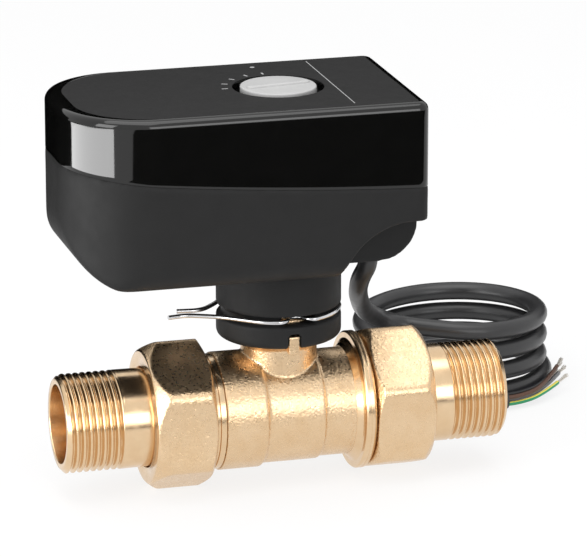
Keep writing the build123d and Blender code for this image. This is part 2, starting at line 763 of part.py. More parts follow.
def cover_seal():
    """Rubber cord in the base's rim, under the cover."""
    track = plan_solid(SEAL_INSET, 60, 120) - plan_solid(SEAL_INSET + SEAL_WIDTH, 59, 121)
    return (track & below_parting()) - below_parting(SEAL_DEPTH)


def top_plate():
    """Thin matte plate let into the cover's top, with a hole round the well."""
    low = COVER_TOP - PLATE_RECESS
    sheet = plan_solid(PLATE_INSET + SEATED, low, low + PLATE_THICKNESS, PLATE_LEFT_INSET)
    return sheet - drum(WELL_R, low - 1, COVER_TOP + 1)


def housing_screws():
    """Four screws that go up through the base into the cover."""
    def one(x, y):
        seat_z = screw_seat(x)
        head = drum(SCREW_HEAD_R, seat_z - SCREW_HEAD, seat_z, x, y)
        arm, half, low = 0.7 * SCREW_HEAD_R, 0.4, seat_z - SCREW_HEAD
        slot = block(x - arm, x + arm, y - half, y + half, low - 1, low + 0.9)
        cross = block(x - half, x + half, y - arm, y + arm, low - 1, low + 0.9)
        return head + drum(SCREW_R, seat_z, screw_top(x), x, y) - slot - cross
    spots = [(x, y * sign) for x, y in SCREW_SPOTS for sign in (-1, 1)]
    return Compound(children=[one(x, y) for x, y in spots])


# Knob and its seal

def knob():
    """Light knob in the well: a disc with a grip ridge, on a hub that slides on the shaft."""
    disc_low = KNOB_TOP - KNOB_THICKNESS
    disc = drum(KNOB_R, disc_low, KNOB_TOP)
    disc = chamfer(disc.edges().group_by(Axis.Z)[-1], 0.5)
    reach, half_ridge = KNOB_R - 1.5, KNOB_RIDGE_WIDTH / 2
    ridge_top = KNOB_TOP + KNOB_RIDGE_HEIGHT
    ridge = block(-reach, reach, -half_ridge, half_ridge, KNOB_TOP - 0.2, ridge_top)
    ridge = chamfer(ridge.edges().group_by(Axis.Z)[-1], 0.5)
    hub = drum(KNOB_HUB_R, knob_hub_bottom(), disc_low)
    half = SHAFT_SQUARE / 2 + RUNNING
    socket = block(-half, half, -half, half, knob_hub_bottom() - 1, KNOB_TOP - KNOB_ROOF)
    return disc + ridge + hub - socket


def knob_seal():
    """Rubber ring in the well's floor, round the knob's hub."""
    low = well_bottom() - WELL_SEAL_DEPTH
    return ring(KNOB_HUB_R + WELL_SEAL_WIDTH, KNOB_HUB_R + RUNNING, low, well_bottom())


# Output shaft, bush, cams and limit switches

def shaft_bush():
    """Flanged bronze bush in the top of the neck."""
    floor = BASE_BOTTOM + HOUSING_WALL
    sleeve = drum(BUSH_R, NECK_SOCKET_TOP + 1, floor)
    flange = drum(BUSH_FLANGE_R, floor, floor + BUSH_FLANGE)
    return sleeve + flange - drum(HUB_R + RUNNING, 0, floor + BUSH_FLANGE + 1)


def output_shaft():
    """Shaft from the stem's square up to the knob, carried by the bush and the upper plate."""
    shoulder_low = BASE_BOTTOM + HOUSING_WALL + BUSH_FLANGE + RUNNING
    hub = drum(HUB_R, HUB_BOTTOM, shoulder_low) + drum(HUB_SHOULDER_R, shoulder_low, HUB_TOP)
    shaft = drum(SHAFT_R, HUB_TOP, shaft_top())
    half = STEM_SQUARE / 2 + RUNNING
    socket = block(-half, half, -half, half, HUB_BOTTOM - 1, HUB_SOCKET_TOP)
    key = SHAFT_SQUARE / 2
    square_top = KNOB_TOP - KNOB_ROOF - KNOB_TRAVEL - LOOSE
    square = block(-key, key, -key, key, shaft_top(), square_top)
    return hub + shaft + square - socket


def cam(level, lobe_middle):
    """Switch cam: a disc with one lobe, fixed on the shaft."""
    disc = Circle(CAM_R)
    first = lobe_middle - CAM_LOBE_ANGLE / 2
    arc = CenterArc((0, 0), CAM_LOBE_R, first, CAM_LOBE_ANGLE)
    lobe = make_face([arc, Line((0, 0), arc @ 0), Line((0, 0), arc @ 1)])
    profile = disc + lobe - Circle(SHAFT_R + SEATED)
    return Pos(0, 0, level) * extrude(profile, CAM_HEIGHT)


def switch_face():
    """X of the switches' front faces, with the plunger just clear of the lobe."""
    return CAM_LOBE_R + LOOSE + PLUNGER_OUT


def switch_low(level):
    """Height of a switch's underside, with its plunger level with the cam."""
    return level + CAM_HEIGHT / 2 - SWITCH_HEIGHT / 2


def limit_switch(level):
    """Switch case with the hole for its plunger."""
    low = switch_low(level)
    x = switch_face()
    case = block(x, x + SWITCH_DEPTH, -SWITCH_LENGTH / 2, SWITCH_LENGTH / 2, low, low + SWITCH_HEIGHT)
    middle = level + CAM_HEIGHT / 2
    reach = PLUNGER_LENGTH - PLUNGER_OUT + PLUNGER_TRAVEL + LOOSE
    hole = Pos(x - 1, 0, middle) * Rot(0, 90, 0)
    return case - hole * Cylinder(PLUNGER_R + RUNNING, reach + 1, align=CENTRED)


def switch_plunger(level):
    """Plunger of a limit switch."""
    middle = level + CAM_HEIGHT / 2
    x = switch_face() - PLUNGER_OUT
    return Pos(x, 0, middle) * Rot(0, 90, 0) * Cylinder(PLUNGER_R, PLUNGER_LENGTH, align=CENTRED)


def switch_bracket():
    """Block on the base's floor that the switches stand on."""
    floor = BASE_BOTTOM + HOUSING_WALL
    x = switch_face()
    foot = block(x, x + SWITCH_DEPTH, -SWITCH_LENGTH / 2, SWITCH_LENGTH / 2, floor, switch_low(CAM_LEVELS[0]))
    wall_x = x + SWITCH_DEPTH
    top = switch_low(CAM_LEVELS[1]) + SWITCH_HEIGHT
    wall = block(wall_x, wall_x + 1.2, -SWITCH_LENGTH / 2, SWITCH_LENGTH / 2, floor, top)
    between = block(
        x, wall_x, -SWITCH_LENGTH / 2, SWITCH_LENGTH / 2,
        switch_low(CAM_LEVELS[0]) + SWITCH_HEIGHT, switch_low(CAM_LEVELS[1]),
    )
    return (foot + wall + between) & base_form(HOUSING_WALL)


# Gear train

def involute(angle):
    """The involute of an angle in radians."""
    return tan(angle) - angle


def gear_profile(module, teeth, phase=0.0):
    """Outline of a spur gear whose first tooth points at the phase, in degrees."""
    pitch_r = module * teeth / 2
    base_r = pitch_r * cos(radians(GEAR_PRESSURE))
    tip_r = pitch_r + GEAR_ADDENDUM * module
    root_r = pitch_r - GEAR_DEDUCTION * module
    half_pitch = pi / (2 * teeth) - GEAR_BACKLASH / (2 * pitch_r)
    start_r = max(base_r, root_r)
    flank = []
    for step in range(4):
        radius = start_r + (tip_r - start_r) * step / 3
        pressure = acos(base_r / radius) if radius > base_r else 0.0
        flank.append((radius, half_pitch + involute(radians(GEAR_PRESSURE)) - involute(pressure)))
    if root_r < base_r:
        flank.insert(0, (root_r, flank[0][1]))
    points = []
    for tooth in range(teeth):
        middle = radians(phase) + 2 * pi * tooth / teeth
        for radius, half in flank:
            points.append((radius * cos(middle - half), radius * sin(middle - half)))
        for radius, half in reversed(flank):
            points.append((radius * cos(middle + half), radius * sin(middle + half)))
    return make_face(Polyline(*points, close=True))


IDLER_X = -COARSE_MODULE * (OUTPUT_TEETH + IDLER_PINION_TEETH) / 2
MOTOR_X = IDLER_X - FINE_MODULE * (IDLER_TEETH + MOTOR_TEETH) / 2
FINE_LOW = PLATE_LOW + CHASSIS_THICKNESS + GEAR_CLEARANCE
COARSE_LOW = FINE_LOW + GEAR_FACE + GEAR_CLEARANCE


def output_gear():
    """Large gear on the output shaft."""
    profile = gear_profile(COARSE_MODULE, OUTPUT_TEETH) - Circle(SHAFT_R + SEATED)
    return Pos(0, 0, COARSE_LOW) * extrude(profile, GEAR_FACE)


def idler_gear():
    """Double gear between motor and output gear."""
    phase = 180.0 / IDLER_PINION_TEETH
    wheel = Pos(IDLER_X, 0, FINE_LOW) * extrude(gear_profile(FINE_MODULE, IDLER_TEETH), GEAR_FACE)
    pinion_low = FINE_LOW + GEAR_FACE
    pinion_face = GEAR_FACE + 1.5 * GEAR_CLEARANCE
    pinion_profile = gear_profile(COARSE_MODULE, IDLER_PINION_TEETH, phase)
    pinion = Pos(IDLER_X, 0, pinion_low) * extrude(pinion_profile, pinion_face)
    return wheel + pinion - drum(IDLER_AXLE_R + RUNNING, 0, 120, IDLER_X)


def idler_axle():
    """Steel pin of the double gear, held in both plates."""
    return drum(IDLER_AXLE_R, PLATE_LOW, CHASSIS_UPPER + CHASSIS_THICKNESS, IDLER_X)


def motor_pinion():
    """Motor shaft with its small gear."""
    phase = 180.0 / MOTOR_TEETH
    gear = Pos(MOTOR_X, 0, FINE_LOW) * extrude(gear_profile(FINE_MODULE, MOTOR_TEETH, phase), GEAR_FACE)
    return gear + drum(MOTOR_SHAFT_R, PLATE_LOW - 3, CHASSIS_UPPER - GEAR_CLEARANCE, MOTOR_X)


def motor():
    """Round geared motor under the lower plate, with two ears."""
    low = PLATE_LOW - MOTOR_HEIGHT
    can = fillet(drum(MOTOR_R, low, PLATE_LOW, MOTOR_X).edges().sort_by(Axis.Z)[0], 1.0)
    ear = drum(MOTOR_EAR_R, PLATE_LOW - MOTOR_EAR_THICKNESS, PLATE_LOW, MOTOR_X, MOTOR_EAR_REACH)
    ears = mirrored_pair(ear)
    return can + ears - drum(MOTOR_SHAFT_R + RUNNING, PLATE_LOW - 4, PLATE_LOW + 1, MOTOR_X)


def chassis_sheet(low):
    """A gear plate with its holes for the screws, the axle and the shafts."""
    middle = (CHASSIS_RIGHT - CHASSIS_LEFT) / 2
    sheet = Pos(middle, 0) * Rectangle(CHASSIS_RIGHT + CHASSIS_LEFT, 2 * CHASSIS_HALF_WIDTH)
    sheet = fillet(sheet.vertices(), CHASSIS_CORNER)
    sheet = Pos(0, 0, low) * extrude(sheet, CHASSIS_THICKNESS)
    for x in PILLAR_X:
        for y in (-PILLAR_Y, PILLAR_Y):
            sheet -= drum(CHASSIS_SCREW_R + SEATED, low - 1, low + CHASSIS_THICKNESS + 1, x, y)
    sheet -= drum(IDLER_AXLE_R + SEATED, low - 1, low + CHASSIS_THICKNESS + 1, IDLER_X)
    return sheet - drum(SHAFT_R + RUNNING, low - 1, low + CHASSIS_THICKNESS + 1)


def gear_plate_lower():
    """Steel plate on the base's posts, which carries the motor."""
    return chassis_sheet(PLATE_LOW) - drum(MOTOR_SHAFT_R + 2, PLATE_LOW - 1, FINE_LOW, MOTOR_X)


def gear_plate_upper():
    """Steel plate over the gears."""
    return chassis_sheet(CHASSIS_UPPER)


def plate_spacers():
    """Four tubes between the gear plates."""
    low, high = PLATE_LOW + CHASSIS_THICKNESS, CHASSIS_UPPER
    spots = [(x, y) for x in PILLAR_X for y in (-PILLAR_Y, PILLAR_Y)]
    tubes = [ring(PILLAR_R, CHASSIS_SCREW_R + SEATED, low, high, x, y) for x, y in spots]
    return Compound(children=tubes)


def plate_screws():
    """Four long screws through both plates into the base's posts."""
    top = CHASSIS_UPPER + CHASSIS_THICKNESS
    screws = []
    for x in PILLAR_X:
        for y in (-PILLAR_Y, PILLAR_Y):
            shank = drum(CHASSIS_SCREW_R, PLATE_LOW - CHASSIS_SCREW_BITE + 1, top, x, y)
            head = drum(CHASSIS_SCREW_HEAD_R, top, top + CHASSIS_SCREW_HEAD, x, y)
            screws.append(shank + head)
    return Compound(children=screws)


# Circuit board

def circuit_board():
    """Board at the right, with its two screw holes and the hole for the cable."""
    right = BOARD_LEFT + BOARD_WIDTH
    high = BOARD_LEVEL + BOARD_THICKNESS
    board = block(BOARD_LEFT, right, -BOARD_HALF_LENGTH, BOARD_HALF_LENGTH, BOARD_LEVEL, high)
    for y in (-BOARD_POST_Y, BOARD_POST_Y):
        board -= drum(BOARD_SCREW_R + SEATED, BOARD_LEVEL - 1, high + 1, BOARD_LEFT + BOARD_WIDTH / 2, y)
    return board


def board_screws():
    """Two screws that hold the board."""
    top = BOARD_LEVEL + BOARD_THICKNESS
    x = BOARD_LEFT + BOARD_WIDTH / 2
    pieces = []
    for y in (-BOARD_POST_Y, BOARD_POST_Y):
        pieces.append(drum(BOARD_SCREW_R, BOARD_LEVEL - 5, top, x, y) + drum(2.1, top, top + 1.4, x, y))
    return Compound(children=pieces)


def on_board(size, y):
    """A block that stands on the board."""
    low = BOARD_LEVEL + BOARD_THICKNESS
    x = BOARD_LEFT + BOARD_WIDTH / 2
    return block(x - size[0] / 2, x + size[0] / 2, y - size[1] / 2, y + size[1] / 2, low, low + size[2])


def capacitor():
    """Round capacitor on the board."""
    low = BOARD_LEVEL + BOARD_THICKNESS
    can = drum(CAPACITOR_R, low, low + CAPACITOR_HEIGHT, BOARD_LEFT + BOARD_WIDTH / 2, CAPACITOR_Y)
    return fillet(can.edges().sort_by(Axis.Z)[-1], 0.6)


def terminal_block():
    """Terminal block for the cable's cores, with its wire entries."""
    body = on_board(TERMINAL_SIZE, TERMINAL_Y)
    low = BOARD_LEVEL + BOARD_THICKNESS
    for step in (-3, 0, 3):
        y = TERMINAL_Y + step
        body -= block(BOARD_LEFT, BOARD_LEFT + 6, y - 1, y + 1, low + 1.5, low + 4.5)
    return body


# Cable entry

def cable_gland():
    """Rubber gland in the floor of the trunk, with a taper under it."""
    x, y = CABLE_SPOT
    outer = GLAND_R - SEATED
    taper = Pos(x, y, TRUNK_BOTTOM - GLAND_DROP) * Cone(CABLE_R + 0.7, outer, GLAND_DROP, align=CENTRED)
    plug = drum(outer, TRUNK_BOTTOM, CLAMP_BED, x, y)
    return taper + plug - drum(CABLE_R + SEATED, TRUNK_BOTTOM - GLAND_DROP - 1, CLAMP_BED + 1, x, y)


def clamp_block(x, y, low, high):
    """The clamp's block between two heights."""
    half_x, half_y = CLAMP_SIZE[0] / 2, CLAMP_SIZE[1] / 2
    return block(x - half_x, x + half_x, y - half_y, y + half_y, low, high)


def cable_clamp():
    """Two-screw saddle that grips the cable above the gland."""
    x, y = CABLE_SPOT
    high = CLAMP_BED + CLAMP_SIZE[2]
    saddle = clamp_block(x, y, CLAMP_BED, high) & base_form(HOUSING_WALL + LOOSE)
    for sign in (-1, 1):
        saddle -= drum(CLAMP_SCREW_R, high - 3, high + 1, x, y + sign * CLAMP_SCREW_Y)
    return saddle - drum(CABLE_R + SEATED, CLAMP_BED - 1, high + 1, x, y)


def inner_lead():
    """The cable's stretch inside the gland, up to the board."""
    x, y = CABLE_SPOT
    return drum(CABLE_R, TRUNK_BOTTOM - GLAND_DROP, BOARD_LEVEL, x, y)


# Free cable and coil

def coil_point(turns):
    """Point of the coil's centre line after so many turns from its start at the top."""
    settled = FLOOR + CABLE_R + COIL_LIFT
    spread = min(max((turns - COIL_STACK_TURNS + 0.02) / 0.55, 0.0), 1.0)
    radius = COIL_R + COIL_LOOSE_STEP * sin(spread * pi / 2)
    angle = radians(COIL_START + 360 * turns)
    height = settled + COIL_PITCH * max(COIL_STACK_TURNS - turns, 0.0)
    height += COIL_START_LIFT * max(1 - turns / COIL_START_TURNS, 0.0) ** 2
    return Vector(COIL_X + radius * cos(angle), COIL_Y + radius * sin(angle), height)


def coil_heading(turns):
    """Direction of the coil's centre line after so many turns."""
    reach = 0.01
    return (coil_point(turns + reach) - coil_point(turns - reach)).normalized()


def biarc(start, start_heading, end, end_heading):
    """Two arcs that join two points and keep both headings."""
    chord = end - start
    both = start_heading + end_heading
    bend = 2 * (1 - start_heading.dot(end_heading))
    along = chord.dot(both)
    reach = (sqrt(along ** 2 + bend * chord.dot(chord)) - along) / bend
    first, second = start + start_heading * reach, end - end_heading * reach
    joint = (first + second) * 0.5
    middle_heading = (second - first).normalized()
    return [
        Edge.make_tangent_arc(start, start_heading, joint),
        Edge.make_tangent_arc(joint, middle_heading, end),
    ]


def coil_path():
    """Centre line of the coil: a straight end, quarter turns of two arcs each, a straight end."""
    total = COIL_STACK_TURNS + COIL_LOOSE_TURNS
    quarters = round(total * 4)
    stops = [total * index / quarters for index in range(quarters + 1)]
    first, last = coil_point(0), coil_point(total)
    edges = [Edge.make_line(first - coil_heading(0) * COIL_LEAD, first)]
    for before, after in zip(stops, stops[1:]):
        edges += biarc(coil_point(before), coil_heading(before), coil_point(after), coil_heading(after))
    edges.append(Edge.make_line(last, last + coil_heading(total) * COIL_LEAD))
    return Wire(edges)


def least_gap(path, samples=700):
    """Least clear gap between stretches of the coil more than half a turn apart."""
    points = [path.position_at(index / samples) for index in range(samples + 1)]
    apart = int(samples * 0.5 * 2 * pi * COIL_R / path.length)
    nearest = min(
        (points[i] - points[j]).length
        for i in range(samples + 1)
        for j in range(i + apart, samples + 1)
    )
    return nearest - 2 * CABLE_R


# Points of the cable's free run between the gland and the coil
RUN_POINTS = [
    (31.3, 9.3, 39.8),
    (32.2, 16.0, 33.2),
    (36.9, 29.5, 25.0),
    (44.3, 48.6, 15.5),
    (51.6, 60.6, 9.3),
    (57.6, 64.7, 5.7),
]
RUN_FIRST = 5.7
RUN_LAST = 5.8


def run_route():
    """Route of the free run, square to the gland and to the coil's end."""
    x, y = CABLE_SPOT
    low = TRUNK_BOTTOM - GLAND_DROP
    heading = coil_heading(0)
    end = coil_point(0) - heading * COIL_LEAD
    before = end - heading * RUN_LAST
    near_coil = [(before.X, before.Y, before.Z), (end.X, end.Y, end.Z)]
    return [(x, y, low), (x, y, low - RUN_FIRST), *RUN_POINTS, *near_coil]


def cable_run():
    """Free stretch of the cable."""
    points = run_route()
    radii = bend_radii(points)
    runs = [(Vector(*b) - Vector(*a)).length for a, b in zip(points, points[1:])]
    print("cable run: runs", [round(run, 1) for run in runs])
    print("cable run: radii", [round(radius, 1) for radius in radii])
    path = FilletPolyline(*points, radius=radii)
    print("cable run: length", round(path.length, 1))
    return tube_along(path, CABLE_R)


def cable_coil():
    """The coil on the floor, in one unbroken tube."""
    path = coil_path()
    print("cable coil: length", round(path.length, 1), "least gap to itself", round(least_gap(path), 2))
    return tube_along(path, CABLE_R)


# How far each core fans out at its end: sideways, up, and along
CORE_ENDS = {
    "core_green_yellow": (-10.8, 2.2, 23.4),
    "core_blue": (-16.2, 1.4, 24.9),
    "core_brown": (-21.2, 2.4, 27.4),
    "core_black": (-19.4, 0.9, 27.3),
    "core_grey": (-18.5, 1.3, 27.6),
}
CORE_SEATS = ((1.5, -1.2), (-1.5, -1.2), (1.5, 1.2), (-1.5, 1.2), (0.0, 0.0))


def core_paths():
    """Centre line and tip of each core, from the cut end of the cable."""
    total = COIL_STACK_TURNS + COIL_LOOSE_TURNS
    heading = coil_heading(total)
    face = coil_point(total) + heading * 2 * CABLE_R
    side = Vector(-heading.Y, heading.X, 0) * -1
    up = Vector(0, 0, 1)
    found = {}
    for (name, (sideways, raised, along)), (seat_side, seat_up) in zip(CORE_ENDS.items(), CORE_SEATS):
        start = face + side * seat_side + up * seat_up
        first = start + heading * along * 0.2
        second = start + heading * along * 0.6 + side * sideways * 0.28 + up * raised * 0.4
        end = start + heading * along + side * sideways + up * raised
        points = [(p.X, p.Y, p.Z) for p in (start, first, second, end)]
        path = FilletPolyline(*points, radius=bend_radii(points))
        outward = (end - second).normalized()
        found[name] = (path, end, outward)
    return found


def bare_tip(end, outward):
    """Tinned strands at the end of a core."""
    place = Plane(origin=end, z_dir=outward)
    return place * Cylinder(CORE_TIP_R, CORE_TIP_LENGTH, align=CENTRED)


def build():
    """Makes every node and writes it."""
    os.makedirs("parts", exist_ok=True)
    save("valve_body", valve_body())
    save("end_connector", end_connector())
    save("seat_left", on_left(seat()))
    save("seat_right", seat())
    save("ball", ball())
    save("stem", stem())
    save("stem_o_rings", stem_o_rings())
    save("stem_washer", stem_washer())
    nut_left = union_nut(NUT_INNER_FACE_LEFT, NUT_OUTER_CHAMFER_LEFT, NUT_TURN_LEFT)
    nut_right = union_nut(NUT_INNER_FACE_RIGHT, NUT_OUTER_CHAMFER_RIGHT, NUT_TURN_RIGHT)
    save("union_nut_left", on_left(nut_left))
    save("union_nut_right", nut_right)
    save("tail_left", on_left(tail()))
    save("tail_right", tail())
    save("gasket_left", on_left(union_gasket()))
    save("gasket_right", union_gasket())
    save("retaining_clip", retaining_clip())
    save("base_housing", base_housing())
    save("cover", cover())
    save("cover_seal", cover_seal())
    save("top_plate", top_plate())
    save("housing_screws", housing_screws())
    save("knob", knob())
    save("knob_seal", knob_seal())
    save("shaft_bush", shaft_bush())
    save("output_shaft", output_shaft())
    save("cam_lower", cam(CAM_LEVELS[0], 180.0))
    save("cam_upper", cam(CAM_LEVELS[1], 90.0))
    save("switch_lower", limit_switch(CAM_LEVELS[0]))
    save("switch_upper", limit_switch(CAM_LEVELS[1]))
    save("switch_plunger_lower", switch_plunger(CAM_LEVELS[0]))
    save("switch_plunger_upper", switch_plunger(CAM_LEVELS[1]))
    save("switch_bracket", switch_bracket())
    save("output_gear", output_gear())
    save("idler_gear", idler_gear())
    save("idler_axle", idler_axle())
    save("motor_pinion", motor_pinion())
    save("motor", motor())
    save("gear_plate_lower", gear_plate_lower())
    save("gear_plate_upper", gear_plate_upper())
    save("plate_spacers", plate_spacers())
    save("plate_screws", plate_screws())
    save("circuit_board", circuit_board())
    save("board_screws", board_screws())
    save("relay", on_board(RELAY_SIZE, RELAY_Y))
    save("terminal_block", terminal_block())
    save("capacitor", capacitor())
    save("cable_gland", cable_gland())
    save("cable_clamp", cable_clamp())
    save("inner_lead", inner_lead())
    save("cable_run", cable_run())
    save("cable_coil", cable_coil())
    tips = []
    for name, (path, end, outward) in core_paths().items():
        save(name, tube_along(path, CORE_R))
        tips.append(bare_tip(end, outward))
    save("core_tips", Compound(children=tips))


build()
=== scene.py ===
import math

import bmesh
import bpy
import numpy as np
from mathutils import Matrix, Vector


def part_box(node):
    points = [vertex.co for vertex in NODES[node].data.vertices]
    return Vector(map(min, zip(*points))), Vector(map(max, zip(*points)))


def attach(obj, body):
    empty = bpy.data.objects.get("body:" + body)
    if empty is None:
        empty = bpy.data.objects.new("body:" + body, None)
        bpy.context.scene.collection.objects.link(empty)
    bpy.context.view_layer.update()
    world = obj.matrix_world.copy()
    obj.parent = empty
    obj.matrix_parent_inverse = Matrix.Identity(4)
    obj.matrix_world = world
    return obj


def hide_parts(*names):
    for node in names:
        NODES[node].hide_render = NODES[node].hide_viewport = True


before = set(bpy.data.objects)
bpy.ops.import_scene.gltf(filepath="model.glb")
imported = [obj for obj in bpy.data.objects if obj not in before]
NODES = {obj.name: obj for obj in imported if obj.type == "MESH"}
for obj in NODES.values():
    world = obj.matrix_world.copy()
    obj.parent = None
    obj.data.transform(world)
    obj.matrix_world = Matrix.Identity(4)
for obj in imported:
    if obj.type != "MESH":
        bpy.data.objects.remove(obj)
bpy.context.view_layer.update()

# Shapes are drawn in millimetres from the ball's centre, which lies REACH along the pipe
MM = 0.001
REACH = 76.0
FLOOR = -25.65
SIDES = {-1: "left", 1: "right"}


def at(x, y, z):
    """A point given in millimetres from the ball's centre, in metres from the part's origin."""
    return Vector(((x + REACH) * MM, y * MM, z * MM))


def in_scene(name, data):
    """A new object with this data, linked to the scene."""
    made = bpy.data.objects.new(name, data)
    bpy.context.collection.objects.link(made)
    return made


def aim(thing, direction):
    """Turns a camera or lamp to look in a direction."""
    thing.rotation_mode = "QUATERNION"
    thing.rotation_quaternion = direction.to_track_quat("-Z", "Y")


# Camera

TARGET = Vector((0.08085, -0.00134, 0.0444))
AWAY = Vector((-0.256, -0.924, 0.284))
CAMERA_DISTANCE = 1.5

camera_data = bpy.data.cameras.new("camera")
camera_data.lens = 275.86
camera_data.sensor_width = 36.0
camera_data.sensor_fit = "HORIZONTAL"
camera_data.clip_start = 0.05
camera_data.clip_end = 20.0
camera = in_scene("camera", camera_data)
camera.location = TARGET + AWAY * CAMERA_DISTANCE
aim(camera, -AWAY)
bpy.context.scene.camera = camera
bpy.context.scene.view_settings.view_transform = "Standard"


# Materials

class Shade:
    """One node material, with short calls for the nodes it is made of."""

    def __init__(self, name, colour, metallic=0.0, roughness=0.5, specular=0.5):
        self.material = bpy.data.materials.new(name)
        self.material.use_nodes = True
        self.tree = self.material.node_tree
        self.shader = self.tree.nodes["Principled BSDF"]
        self.shader.inputs["Base Color"].default_value = (*colour, 1.0)
        self.shader.inputs["Metallic"].default_value = metallic
        self.shader.inputs["Roughness"].default_value = roughness
        self.shader.inputs["Specular IOR Level"].default_value = specular
        self.colour = colour
        self.normal = None

    def put(self, kind, **inputs):
        """Adds a node and sets or joins its inputs by name."""
        node = self.tree.nodes.new(kind)
        for name, value in inputs.items():
            self.join(value, node.inputs[name])
        return node

    def join(self, value, socket):
        """Links another node's output to a socket, or sets the socket to a plain value."""
        if isinstance(value, bpy.types.NodeSocket):
            self.tree.links.new(value, socket)
        else:
            socket.default_value = value

    def place(self, stretch=(1.0, 1.0, 1.0)):
        """The object's own coordinates, stretched."""
        where = self.tree.nodes.new("ShaderNodeTexCoord")
        node = self.tree.nodes.new("ShaderNodeMapping")
        node.inputs["Scale"].default_value = stretch
        self.tree.links.new(where.outputs["Object"], node.inputs["Vector"])
        return node.outputs["Vector"]

    def noise(self, size, detail=3.0, rough=0.55, stretch=(1.0, 1.0, 1.0)):
        """Noise whose lumps are about size millimetres."""
        node = self.put("ShaderNodeTexNoise", Vector=self.place(stretch))
        node.inputs["Scale"].default_value = 1000.0 / size
        node.inputs["Detail"].default_value = detail
        node.inputs["Roughness"].default_value = rough
        return node.outputs["Fac"]

    def span(self, value, low, high, to_low=0.0, to_high=1.0, smooth=False):
        """Maps low to to_low and high to to_high, and holds still outside them."""
        node = self.tree.nodes.new("ShaderNodeMapRange")
        if smooth:
            node.interpolation_type = "SMOOTHSTEP"
        self.join(value, node.inputs["Value"])
        node.inputs["From Min"].default_value = low
        node.inputs["From Max"].default_value = high
        self.join(to_low, node.inputs["To Min"])
        self.join(to_high, node.inputs["To Max"])
        return node.outputs["Result"]

    def maths(self, operation, first, second=0.0):
        """The result of one operation on two values."""
        node = self.tree.nodes.new("ShaderNodeMath")
        node.operation = operation
        self.join(first, node.inputs[0])
        self.join(second, node.inputs[1])
        return node.outputs["Value"]

    def mix(self, amount, first, second):
        """The first colour at amount 0, the second at 1."""
        node = self.tree.nodes.new("ShaderNodeMix")
        node.data_type = "RGBA"
        self.join(amount, node.inputs["Factor"])
        for value, socket in ((first, node.inputs[6]), (second, node.inputs[7])):
            self.join(value if isinstance(value, bpy.types.NodeSocket) else (*value, 1.0), socket)
        return node.outputs[2]

    def bump(self, height, depth, strength=1.0):
        """Adds relief, with depth in millimetres."""
        node = self.tree.nodes.new("ShaderNodeBump")
        node.inputs["Distance"].default_value = depth * MM
        self.join(strength, node.inputs["Strength"])
        self.join(height, node.inputs["Height"])
        if self.normal is not None:
            self.tree.links.new(self.normal, node.inputs["Normal"])
        self.normal = node.outputs["Normal"]
        self.tree.links.new(self.normal, self.shader.inputs["Normal"])

    def wear(self, size, spread, low, high, detail=3.0):
        """Uneven colour and roughness in patches of about size millimetres."""
        patches = self.noise(size, detail)
        darker = tuple(c * (1.0 - spread) for c in self.colour)
        lighter = tuple(min(1.0, c * (1.0 + spread)) for c in self.colour)
        tone = self.mix(self.span(patches, 0.3, 0.7), darker, lighter)
        self.join(tone, self.shader.inputs["Base Color"])
        rough = self.span(self.noise(size * 0.6, detail), 0.3, 0.7, low, high)
        self.join(rough, self.shader.inputs["Roughness"])


def moulded(name, colour, low, high, grain, depth, spread=0.12, specular=0.5):
    """Moulded plastic or rubber, of roughness low to high, with a fine grain."""
    s = Shade(name, colour, 0.0, low, specular)
    s.wear(9.0, spread, low, high)
    s.bump(s.noise(grain, 2.0), depth, 0.5)
    return s


def machined(name, colour, low, high, stretch, depth=0.01, spread=0.08):
    """Turned or drawn metal, with tool marks across the axis whose stretch is 1."""
    s = Shade(name, colour, 1.0, low)
    s.wear(6.0, spread, low, high)
    s.bump(s.noise(0.25, 2.0, 0.6, stretch), depth, 0.4)
    return s


def near_x(s, low, high, blur=0.4):
    """1 where the place along the pipe, in millimetres from the ball, is between low and high."""
    x = s.put("ShaderNodeSeparateXYZ", Vector=s.place()).outputs["X"]
    rise = s.span(x, (low + REACH - blur) * MM, (low + REACH + blur) * MM, 0.0, 1.0, True)
    fall = s.span(x, (high + REACH - blur) * MM, (high + REACH + blur) * MM, 1.0, 0.0, True)
    return s.maths("MULTIPLY", rise, fall)


BRASS = (0.76, 0.545, 0.335)
BRASS_LIGHT = (0.775, 0.57, 0.36)
BRASS_DEEP = (0.735, 0.52, 0.31)
BRASS_PIT = (0.46, 0.29, 0.14)
ALONG_PIPE = (1.0, 0.02, 0.02)
UPRIGHT = (0.02, 0.02, 1.0)


def brass(name, low, high):
    """Light brass: cast grain from low to high along the pipe, fine turning marks elsewhere."""
    s = Shade(name, BRASS, 1.0, 0.25)
    mask = near_x(s, low, high)
    patches = s.noise(7.0, 4.0, 0.6)
    tone = s.mix(s.span(patches, 0.35, 0.7), BRASS_LIGHT, BRASS_DEEP)
    pits = s.noise(0.8, 2.0, 0.5)
    dark = s.maths("MULTIPLY", s.span(pits, 0.30, 0.44, 1.0, 0.0, True), mask)
    tone = s.mix(s.maths("MULTIPLY", dark, 0.10), tone, BRASS_PIT)
    s.join(tone, s.shader.inputs["Base Color"])
    cast = s.span(s.noise(1.2, 3.0), 0.3, 0.7, 0.24, 0.36)
    turned = s.span(s.noise(3.0, 3.0), 0.3, 0.7, 0.16, 0.26)
    blend = s.tree.nodes.new("ShaderNodeMix")
    s.join(mask, blend.inputs["Factor"])
    s.join(turned, blend.inputs[2])
    s.join(cast, blend.inputs[3])
    s.join(blend.outputs[0], s.shader.inputs["Roughness"])
    s.bump(s.noise(0.2, 2.0, 0.6, ALONG_PIPE), 0.006, 0.35)
    s.bump(pits, 0.2, s.maths("MULTIPLY", mask, 0.9))
    s.bump(s.noise(2.0, 2.0), 0.1, s.maths("MULTIPLY", mask, 0.3))
    return s


